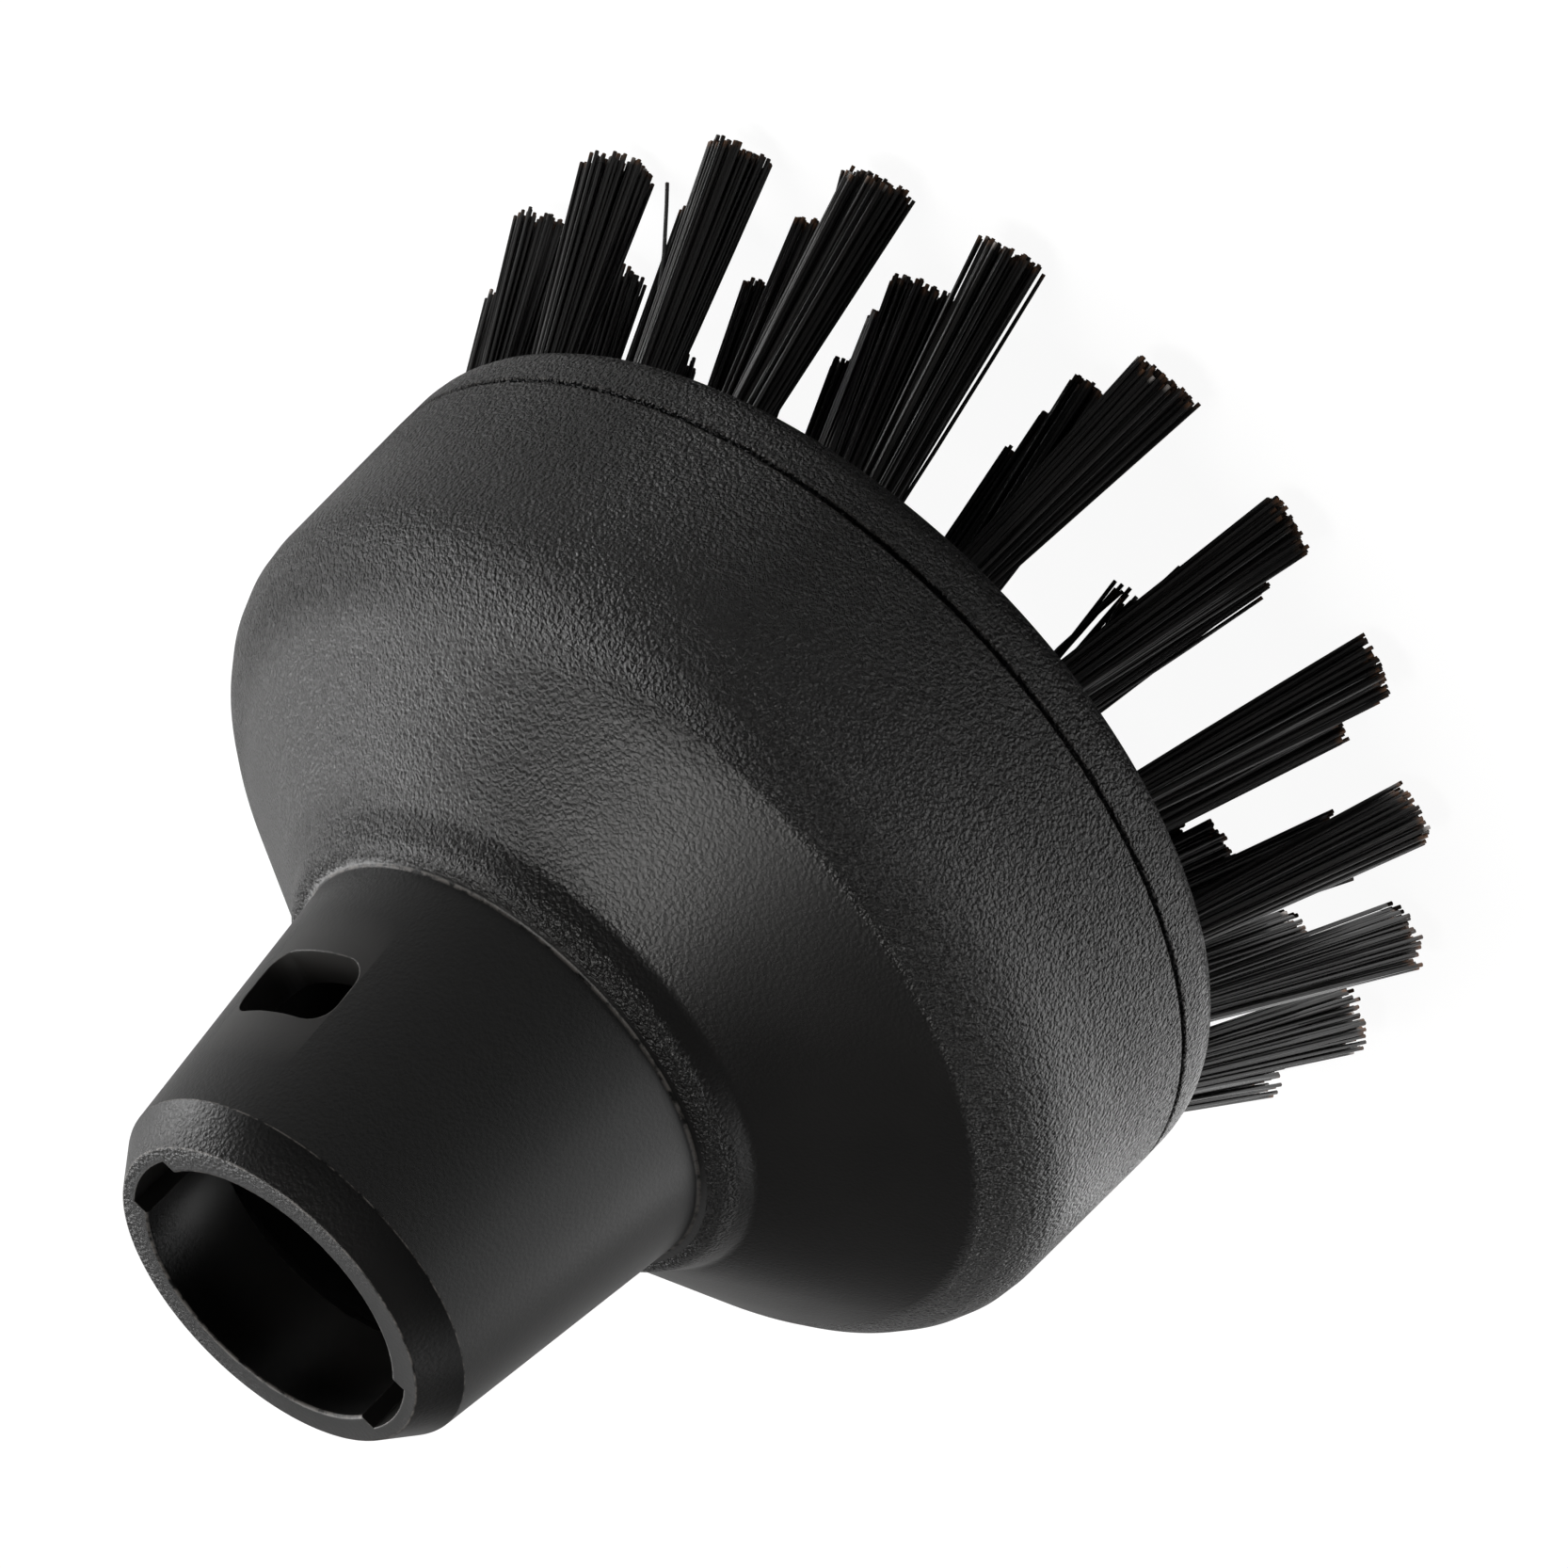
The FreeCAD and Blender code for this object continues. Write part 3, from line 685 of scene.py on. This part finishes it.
# %% Tuft seats
# each tuft's own turn and run of its tip, swell of its tip and turn of its root: degrees, mm, mm, degrees
LEANINGS = {
    "a": {1: (4.0, -0.25, -0.2, 0.4), 2: (2.0, -0.1, -0.15, 0), 10: (-3.6, 1.0, 0.2, 0),
          11: (-3.2, 0, 0.2, 0), 12: (-2.2, 0, 0.1, 0.6), 13: (0, 0, -0.1, -1.8),
          14: (1.2, 0.6, 0, 2.0), 15: (0.4, 0.6, 0.05, 1.4), 16: (0.4, 0.6, 0.3, 0.8),
          17: (2.2, 0.6, 0.1, -2.4), 18: (-0.2, 0.4, 0.2, 0.2), 19: (0.8, -0.25, -0.05, -1.8),
          20: (3.8, -0.75, 0.25, 0)},
    "b": {1: (1.5, -0.1, 0, 0), 9: (0.3, -0.25, 0, 0), 10: (1.9, 0, 0.2, 0.4), 11: (2.5, 0.9, 0, -0.4),
          12: (1.3, 0.1, 0, 0.8), 13: (5.1, 0, 0, -1.2), 14: (9.1, -1.75, 0.1, 0),
          15: (0.9, 0.1, -0.1, 0), 16: (-1.3, 0, 0, 1.2)},
    "c": {1: (9.0, 0, 0, 0), 7: (5.0, -2.0, -0.15, 0), 8: (7.2, 0, 0, 0), 9: (5.6, -0.25, 0, 0),
          10: (6.2, 0, 0, 0), 11: (6.8, 0, 0, 0), 12: (2.0, 0, -0.1, 1.8)},
    "d": {6: (12.0, -1.1, 0, 0), 7: (8.0, 0, 0, 0.4), 8: (4.2, 0, 0, 0.4)},
}


def around(radius, turn, height):
    """A point at a radius, a turn from X in degrees and a height."""
    turn = math.radians(turn)
    return Vector((math.cos(turn), math.sin(turn), 0)) * radius + Vector((0, 0, height))


def seat(ring, number, leaning=(0, 0, 0, 0)):
    """Where a tuft leaves the plate, and its aim: a unit vector from its root to its tip."""
    pitches = RINGS[ring]
    tip_turn, tip_run, _, root_turn = leaning
    turn = TUFT_TURN + 360 * (number - 1) / (TUFTS_PER_STEP * pitches)
    place = around(pitches * BASE_PITCH, turn + root_turn, FACE)
    tip = around(pitches * BASE_PITCH + TUFT_SPLAY + tip_run * MM, turn + tip_turn, FACE - REACH)
    return place, (tip - place).normalized()


print("first outer tuft:", [[round(v, 4) for v in row] for row in seat("a", 1)])

# %% [markdown]
# ## Plate
# The plate is turned as well, up to its flat face. The face itself is a disc with many holes, which is
# what the Fill Curve node makes: the rim's circle, the outlet and one ellipse for each leaning hole
# go in, a flat face with openings comes out. Each ellipse is then extruded along its own hole.

# %% Plate face with its holes, as a Geometry Nodes tree
HOLE_SIDES, OUTLET_SIDES = 24, 96
FACE_RADIUS = BELL_RADIUS - RIM_ROUNDING * (1 + SUPPORT)


def face_tree():
    """Tree: hole seats in, the plate's face with a well at every seat out."""
    inputs = {
        "Seats": ("Geometry", None), "Material": ("Material", None), "Face height": ("Float", FACE),
        "Face radius": ("Float", FACE_RADIUS), "Outlet radius": ("Float", OUTLET),
        "Hole radius": ("Float", HOLE), "Hole depth": ("Float", HOLE_DEPTH),
    }
    tree, given, out = new_tree("GeometryNodeTree", "plate_face", inputs, "Face", "Geometry")
    sides = {"Face radius": SEGMENTS, "Outlet radius": OUTLET_SIDES, "Hole radius": HOLE_SIDES}
    rim, outlet, hole = (
        shape(tree, "CurvePrimitiveCircle", {"Resolution": count, "Radius": given[label]})
        for label, count in sides.items()
    )
    turn, stretch, aim = (read(tree, name) for name in ("turn", "stretch", "aim"))
    inputs = {"Points": given["Seats"], "Instance": hole, "Rotation": turn, "Scale": stretch}
    holes = shape(tree, "RealizeInstances", {"Geometry": shape(tree, "InstanceOnPoints", inputs)})
    lift = node(tree, "ShaderNodeCombineXYZ", {"Z": given["Face height"]}).outputs[0]

    filled = shape(tree, "FillCurve", {"Curve": join(tree, rim, outlet, holes)})
    level = shape(tree, "SetPosition", {"Geometry": filled, "Offset": lift})

    mouths = shape(tree, "CurveToMesh", {"Curve": holes})
    mouths = shape(tree, "SetPosition", {"Geometry": mouths, "Offset": lift})
    depth = vector_maths(tree, "SCALE", aim, scale=maths(tree, "MULTIPLY", given["Hole depth"], -1.0))
    inputs = {"Mesh": mouths, "Offset": depth, "Offset Scale": 1.0}
    wells = shape(tree, "ExtrudeMesh", inputs, mode="EDGES")
    tree.links.new(coat(tree, join(tree, level, wells), given), out)
    return tree


# %% Plate made of the turned rim and the face
SAME_HEIGHT, SAME_RADIUS, MERGE = 0.0001 * MM, 0.001 * MM, 0.004 * MM


def all_seats():
    """Place, aim, turn about the axis and lean of every hole."""
    rows = []
    for ring, pitches in RINGS.items():
        for number in range(1, TUFTS_PER_STEP * pitches + 1):
            place, aim = seat(ring, number)
            rows.append((place, aim, math.atan2(place.y, place.x), math.acos(-aim.z)))
    return rows


rows = all_seats()
seats = cloud(
    "plate_face",
    [(place.x, place.y, 0) for place, aim, turn, lean in rows],
    {
        "aim": [aim for place, aim, turn, lean in rows],
        "turn": [(0, 0, turn) for place, aim, turn, lean in rows],
        "stretch": [(1 / math.cos(lean), 1, 1) for place, aim, turn, lean in rows],
    },
)
plate_face = grow(seats, face_tree(), {
    "Face radius": FACE_RADIUS, "Outlet radius": OUTLET, "Hole radius": HOLE, "Hole depth": HOLE_DEPTH,
    "Face height": FACE, "Material": plastic,
})

register_radius = socket_radius - REGISTER_GAP
rim_outline = soften(
    [
        (BELL_RADIUS, FACE, RIM_ROUNDING, 2.4),
        (BELL_RADIUS, RIM_TOP, 0.18 * MM, 3.2),
        (register_radius, RIM_TOP, 0.1 * MM, 0.0),
        (register_radius, PLATE_TOP, 0.3 * MM, 0.0),
        (OUTLET, PLATE_TOP, 0.0, 0.0),
        (OUTLET, FACE, 0.0, 0.0),
    ]
)
plate = spin("plate_moulding", rim_outline)


def join_face(turned, face):
    """Swaps the turned shape's flat face for the one with holes, and closes the seams between them."""
    work = bmesh.new()
    work.from_mesh(turned.data)
    flat = [f for f in work.faces if all(abs(v.co.z - FACE) < SAME_HEIGHT for v in f.verts)
            and max(v.co.xy.length for v in f.verts) <= FACE_RADIUS + SAME_RADIUS]
    bmesh.ops.delete(work, geom=flat, context="FACES_ONLY")
    work.from_mesh(face.data)
    bmesh.ops.remove_doubles(work, verts=work.verts, dist=MERGE)
    loops = [e for e in work.edges if e.is_boundary]
    bmesh.ops.holes_fill(work, edges=loops, sides=HOLE_SIDES)
    bmesh.ops.recalc_face_normals(work, faces=work.faces)
    still_open = sum(1 for e in work.edges if e.is_boundary)
    work.to_mesh(turned.data)
    work.free()
    bpy.data.objects.remove(face)
    return still_open


print("plate edges still open:", join_face(plate, plate_face), "of", len(plate.data.edges))

# %% [markdown]
# ## Bristles
# A tuft is a bundle of straight nylon filaments, folded over its anchor and trimmed at the free end. Each one
# is its own thin rod here, because rods catch the light in streaks, leave gaps between the tufts and end in a
# ragged line, and no texture on a solid does that. The Geometry Nodes tree turns one point per tuft
# into a bundle: it copies the point, gives every copy a place in the root's circle and the same
# place in the wider circle of the tip, moves the tip a little, and draws a rod between the two.

# %% Bristle tree
FILAMENTS, FILAMENT_RADIUS, ROOT_RADIUS = 116, 0.14 * MM, 1.25 * MM
TIP_WANDER, RAGGED, BOW = 0.25 * MM, 0.7 * MM, 0.12 * MM
ROD_SIDES, ROD_STEPS = 6, 5
GOLDEN_ANGLE = math.pi * (3 - math.sqrt(5))


def random_number(tree, low, high, seed, offset, item):
    """A Random Value node between two numbers; gives its result."""
    inputs = {"Min": low, "Max": high, "Seed": maths(tree, "ADD", seed, offset), "ID": item}
    made = node(tree, "FunctionNodeRandomValue", inputs, data_type="FLOAT")
    return free_slot(made.outputs, "Value")


def on_circle(tree, side, brow, angle, reach=1.0):
    """A vector of a length at an angle in the plane of side and brow."""
    ends = []
    for axis, function in ((side, "COSINE"), (brow, "SINE")):
        run = maths(tree, "MULTIPLY", reach, maths(tree, function, angle))
        ends.append(vector_maths(tree, "SCALE", axis, scale=run))
    return vector_maths(tree, "ADD", *ends)


def filament_ends(tree, given, number, item):
    """Root, tip and bow of every filament."""
    def chance(low, high, offset):
        return random_number(tree, low, high, given["Seed"], offset, item)

    # place in the circle: an even spiral with a little noise
    share = maths(tree, "SQRT", maths(tree, "DIVIDE", maths(tree, "ADD", number, 0.5), given["Filaments"]))
    share = maths(tree, "MULTIPLY", share, chance(0.94, 1.04, 1))
    angle = maths(tree, "ADD", maths(tree, "MULTIPLY", number, GOLDEN_ANGLE), read(tree, "twist", "FLOAT"))
    angle = maths(tree, "ADD", angle, chance(-0.12, 0.12, 2))
    aim, side = read(tree, "aim"), read(tree, "side")
    brow = vector_maths(tree, "CROSS_PRODUCT", aim, side)
    spoke = vector_maths(tree, "SCALE", on_circle(tree, side, brow, angle), scale=share)

    # the root, in the narrow circle
    place = shape(tree, "InputPosition")
    inner = maths(tree, "SUBTRACT", given["Root radius"], given["Filament radius"])
    root = vector_maths(tree, "ADD", place, vector_maths(tree, "SCALE", spoke, scale=inner))

    # the tip, in the wide one: ragged, cut a little aslant and moved by chance
    short = maths(tree, "MULTIPLY", given["Ragged"], maths(tree, "POWER", chance(0.0, 1.0, 3), 1.6))
    length = maths(tree, "SUBTRACT", read(tree, "length", "FLOAT"), short)
    aslant = maths(tree, "MULTIPLY", share, maths(tree, "COSINE", angle))
    length = maths(tree, "ADD", length, maths(tree, "MULTIPLY", read(tree, "slant", "FLOAT"), aslant))
    outer = maths(tree, "SUBTRACT", given["Tip radius"], given["Filament radius"])
    outer = maths(tree, "MULTIPLY", outer, read(tree, "fan", "FLOAT"))
    wander = maths(tree, "MULTIPLY", given["Stray"], chance(0.0, 1.0, 4))
    drift = on_circle(tree, side, brow, chance(0.0, math.tau, 5), wander)
    tip = vector_maths(tree, "ADD", place, vector_maths(tree, "SCALE", aim, scale=length))
    tip = vector_maths(tree, "ADD", tip, vector_maths(tree, "SCALE", spoke, scale=outer))
    tip = vector_maths(tree, "ADD", tip, drift)
    bow = vector_maths(tree, "SCALE", drift, scale=maths(tree, "DIVIDE", given["Bow"], given["Stray"]))
    return root, tip, bow, chance(0.0, 1.0, 6)


def bristle_tree():
    """Tree: one point per tuft in, every filament of the tufts out."""
    inputs = {
        "Seats": ("Geometry", None), "Material": ("Material", None), "Filaments": ("Int", FILAMENTS),
        "Filament radius": ("Float", FILAMENT_RADIUS), "Root radius": ("Float", ROOT_RADIUS),
        "Tip radius": ("Float", TIP_RADIUS), "Stray": ("Float", TIP_WANDER), "Ragged": ("Float", RAGGED),
        "Bow": ("Float", BOW), "Seed": ("Int", 1),
    }
    tree, given, out = new_tree("GeometryNodeTree", "bristle_bundles", inputs, "Bristles", "Geometry")
    points = shape(tree, "MeshToPoints", {"Mesh": given["Seats"]})
    inputs = {"Geometry": points, "Amount": given["Filaments"]}
    copies = node(tree, "GeometryNodeDuplicateElements", inputs, domain="POINT").outputs
    root, tip, bow, shade = filament_ends(tree, given, copies["Duplicate Index"], shape(tree, "InputIndex"))
    kept = copies["Geometry"]
    for name, value in (("root", root), ("tip", tip), ("bow", bow)):
        kept = keep(tree, kept, name, value)
    kept = keep(tree, kept, "shade", shade, "FLOAT")

    # a straight line of a few points on every copy, closer together towards the tip, then bent into its place
    line = shape(tree, "CurvePrimitiveLine", {"End": (0, 0, 1)})
    line = shape(tree, "ResampleCurve", {"Curve": line, "Count": ROD_STEPS})
    rods = shape(tree, "InstanceOnPoints", {"Points": kept, "Instance": line})
    rods = shape(tree, "RealizeInstances", {"Geometry": rods})
    left = maths(tree, "SUBTRACT", 1.0, shape(tree, "SplineParameter"))
    rods = keep(tree, rods, "along", maths(tree, "SUBTRACT", 1.0, maths(tree, "POWER", left, 1.8)), "FLOAT")
    along = read(tree, "along", "FLOAT")
    inputs = {"Factor": along, "A": read(tree, "root"), "B": read(tree, "tip")}
    straight = free_slot(node(tree, "ShaderNodeMix", inputs, data_type="VECTOR").outputs, "Result")
    arch = maths(tree, "SINE", maths(tree, "MULTIPLY", along, math.pi))
    bent = vector_maths(tree, "ADD", straight, vector_maths(tree, "SCALE", read(tree, "bow"), scale=arch))
    rods = shape(tree, "SetPosition", {"Geometry": rods, "Position": bent})
    inputs = {"Resolution": ROD_SIDES, "Radius": given["Filament radius"]}
    section = shape(tree, "CurvePrimitiveCircle", inputs)
    skin = shape(tree, "CurveToMesh", {"Curve": rods, "Profile Curve": section, "Fill Caps": True})
    tree.links.new(coat(tree, skin, given), out)
    return tree


bundles = bristle_tree()
print("bristle tree:", len(bundles.nodes), "nodes")


def bundle(name, rows, values):
    """One plain mesh of filaments from rows of (place, aim, length, twist, fan, slant)."""
    places, aims, lengths, twists, fans, slants = zip(*rows)
    sides = [Vector((-aim.y, aim.x, 0)).normalized() for aim in aims]
    floats = {"length": lengths, "twist": twists, "fan": fans, "slant": slants}
    points = cloud(name, places, {"aim": aims, "side": sides}, floats)
    common = {"Filament radius": FILAMENT_RADIUS, "Tip radius": TIP_RADIUS, "Material": nylon}
    return grow(points, bundles, {**common, **values})


# %% [markdown]
# One modifier run makes one ring, so each ring becomes one plain mesh that stands for that ring's solids.
# Every tuft gets its own small turn, fan and slant of the cut, from a seeded generator.

# %% Bristles of each ring
dice = random.Random(11)
ROOT_DEPTH = HOLE_DEPTH - ANCHOR_HEIGHT
TRIM, SLANT = 0.25 * MM, 0.25 * MM


def ring_of_bristles(ring, seed):
    """Every tuft of one ring as a single mesh."""
    rows = []
    for number in range(1, TUFTS_PER_STEP * RINGS[ring] + 1):
        chance = (dice.uniform(-3, 3), dice.uniform(-0.8, 0.4), dice.uniform(-0.15, 0.1), dice.uniform(-1, 1))
        leaning = LEANINGS[ring].get(number, chance)
        place, aim = seat(ring, number, leaning)
        length = REACH / -aim.z + ROOT_DEPTH - TRIM
        swell = leaning[2] * MM
        fan = 1 + swell / TIP_RADIUS
        twist = dice.uniform(0, math.tau)
        rows.append((place - aim * ROOT_DEPTH, aim, length, twist, fan, dice.uniform(-SLANT, SLANT)))
    values = {"Filaments": FILAMENTS, "Root radius": ROOT_RADIUS, "Stray": TIP_WANDER, "Ragged": RAGGED,
              "Bow": BOW, "Seed": seed}
    return bundle(f"bristles_ring_{ring}", rows, values)


bristles = {ring: ring_of_bristles(ring, seed) for seed, ring in enumerate(RINGS, start=1)}

# %% [markdown]
# A few filaments have left their tufts, as on any brush that has been carried about. They come from the same
# tree with one filament to a bundle, a larger bow and a tip of their own.

# %% Stray filaments
# radius and turn of the root, radius and turn and height of the tip: mm, degrees, mm, degrees, mm
STRAYS = [(28.3, 321.5, 34.2, 334.0, 2.2), (28.0, 339.5, 35.6, 345.0, 1.2), (28.3, 302.0, 36.8, 307.0, 1.8),
          (12.0, 224.0, 17.4, 243.2, 1.4), (11.9, 226.0, 16.4, 245.9, 1.0), (11.6, 226.5, 16.9, 244.7, 1.0),
          (11.2, 221.0, 17.0, 242.6, 1.2), (11.4, 222.5, 17.6, 244.0, 1.0), (11.0, 219.0, 17.6, 241.6, 1.1),
          (11.8, 220.5, 16.6, 241.8, 1.6), (10.8, 218.0, 17.7, 239.7, 1.0), (12.2, 223.0, 17.2, 244.3, 1.8),
          (11.1, 220.0, 17.4, 240.9, 1.3), (11.5, 225.5, 16.7, 244.9, 1.5), (11.3, 224.5, 16.9, 243.6, 1.9)]
STRAY_DEPTH = 1.5 * MM


def stray_filaments():
    """Single filaments that have left their tuft."""
    rows = []
    for root_radius, root_turn, tip_radius, tip_turn, tip_height in STRAYS:
        root = around(root_radius * MM, root_turn, FACE)
        tip = around(tip_radius * MM, tip_turn, tip_height * MM)
        aim = (tip - root).normalized()
        place = root - aim * STRAY_DEPTH
        rows.append((place, aim, (tip - place).length, 0.0, 0.0, 0.0))
    values = {"Filaments": 1, "Root radius": FILAMENT_RADIUS, "Stray": 0.4 * MM, "Ragged": 0.2 * MM,
              "Bow": 1.2 * MM, "Seed": 9}
    return bundle("stray_filaments", rows, values)


strays = stray_filaments()
print("stray filaments:", len(STRAYS))
for ring, piece in bristles.items():
    low = min(v.co.z for v in piece.data.vertices)
    print(f"ring {ring}: {len(piece.data.polygons)} faces, lowest tip {low / MM:.3f} mm")

# %% [markdown]
# Each piece gets its finish, smooth shading and a sharp line where two faces meet at more than an angle. The
# angle is under that of the real edges and over the step between two faces of a turned surface.

# %% Put the finishes on
SHARP_MOULDING, SHARP_FILAMENT = 32, 60


def finish_piece(piece, material, smooth_angle=None):
    """One material on the whole piece, smooth shading, and sharp edges above an angle."""
    piece.data.materials.clear()
    piece.data.materials.append(material)
    for polygon in piece.data.polygons:
        polygon.material_index = 0
    if smooth_angle is not None:
        piece.data.shade_smooth()
        piece.data.set_sharp_from_angle(angle=math.radians(smooth_angle))


finish_piece(housing, plastic, SHARP_MOULDING)
finish_piece(plate, plastic, SHARP_MOULDING)
for piece in [*bristles.values(), strays]:
    finish_piece(piece, nylon, SHARP_FILAMENT)
finish_piece(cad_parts["tuft_anchors"], wire)
print("materials:", [m.name for m in (plastic, nylon, wire)])

# %% [markdown]
# ## Floor and light
# A plain white floor at Z = 0 carries the tips and takes a soft shadow. Large area lamps stand round the
# brush.

# %% Floor
FLOOR_SIZE, FLOOR_DROP = 3.0, 0.02 * MM
FLOOR_GREY, SHADOW_GREY, FLOOR_WHITE = 0.5, 0.14, 0.94
floor_mesh = bpy.data.meshes.new("floor")
corners = [(x * FLOOR_SIZE, y * FLOOR_SIZE, 0) for x, y in ((-1, -1), (1, -1), (1, 1), (-1, 1))]
floor_mesh.from_pydata(corners, [], [(0, 1, 2, 3)])
floor = add_object("floor", floor_mesh)
floor.location.z = -FLOOR_DROP


def floor_paint():
    """White floor: seen directly it is mostly plain white, but it keeps the shadow."""
    material, tree, pick = new_material("white_floor", "ShaderNodeMixShader")
    matt, soft = (node(tree, "ShaderNodeBsdfDiffuse", {"Color": (grey, grey, grey, 1.0)}).outputs[0]
                  for grey in (FLOOR_GREY, SHADOW_GREY))
    inputs = {"Color": (1.0, 1.0, 1.0, 1.0), "Strength": FLOOR_WHITE}
    white = node(tree, "ShaderNodeEmission", inputs).outputs[0]
    seen = node(tree, "ShaderNodeAddShader")
    feed(tree, seen.inputs[0], soft)
    feed(tree, seen.inputs[1], white)
    feed(tree, pick["Fac"], node(tree, "ShaderNodeLightPath").outputs["Is Camera Ray"])
    feed(tree, pick[1], matt)
    feed(tree, pick[2], seen.outputs[0])
    return material


floor_mesh.materials.append(floor_paint())
print("floor:", [round(v, 2) for v in floor.dimensions])

# %% [markdown]
# Black plastic shows little but the mirror images of its lamps, so their places are chosen from the bright
# areas of the bell: a broad one overhead, low ones behind the brush for the lit shoulder, and one small
# panel lying on the floor for the bright end of the side wall.

# %% Lamps
TARGET = Vector((0, 0, 35 * MM))
WHITE, WARM = (1.0, 1.0, 1.0), (1.0, 0.99, 0.97)
# turn from X and rise over the floor in degrees, distance, size, power, colour
LAMPS = {
    "overhead": (0, 80, 0.9, 0.45, 4.3, WARM),
    "behind_left": (60, 32, 0.9, 0.45, 4.3, WHITE),
    "behind_right": (100, 32, 0.9, 0.45, 0.3, WHITE),
    "low_left": (20, 10, 0.9, 0.3, 2.7, WHITE),
    "low_behind": (45, 9, 0.9, 0.3, 0.5, WHITE),
    "low_right": (170, 9, 0.9, 0.3, 0.5, WHITE),
    "floor_panel": (195, 0, 0.1, 0.14, 0.11, WHITE),
}
AMBIENT, PANEL_HEIGHT = 0.05, 1 * MM


def lamp(name, turn, rise, distance, size, power, colour):
    """A square area lamp that looks at the brush."""
    data = bpy.data.lights.new(name, "AREA")
    data.shape = "SQUARE"
    data.size = size
    data.energy = power
    data.color = colour
    made = add_object(name, data)
    turn, rise = math.radians(turn), math.radians(rise)
    towards = Vector((math.cos(turn) * math.cos(rise), math.sin(turn) * math.cos(rise), math.sin(rise)))
    made.location = TARGET + towards * distance
    made.rotation_euler = towards.to_track_quat("Z", "Y").to_euler()
    return made


lamps = {name: lamp(name, *row) for name, row in LAMPS.items()}
panel = lamps["floor_panel"]
panel.location.z = PANEL_HEIGHT
panel.rotation_euler = (math.pi, 0, 0)
panel.visible_camera = False

world = bpy.data.worlds.new("studio")
bpy.context.scene.world = world
world.use_nodes = True
background = world.node_tree.nodes["Background"].inputs
background["Color"].default_value = (1, 1, 1, 1)
background["Strength"].default_value = AMBIENT
bpy.context.scene.view_settings.view_transform = "Standard"
print("lamps:", list(lamps))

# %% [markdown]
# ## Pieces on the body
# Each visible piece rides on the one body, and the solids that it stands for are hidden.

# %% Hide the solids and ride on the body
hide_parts("housing")
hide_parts("brush_plate")
for ring, piece in bristles.items():
    count = TUFTS_PER_STEP * RINGS[ring]
    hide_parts(*[f"tuft_{ring}_{number:02d}" for number in range(1, count + 1)])
for piece, slot in [(housing, "body_plastic"), (plate, "body_plastic"), (strays, "bristle"),
                    *[(p, "bristle") for p in bristles.values()]]:
    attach(piece, "root")
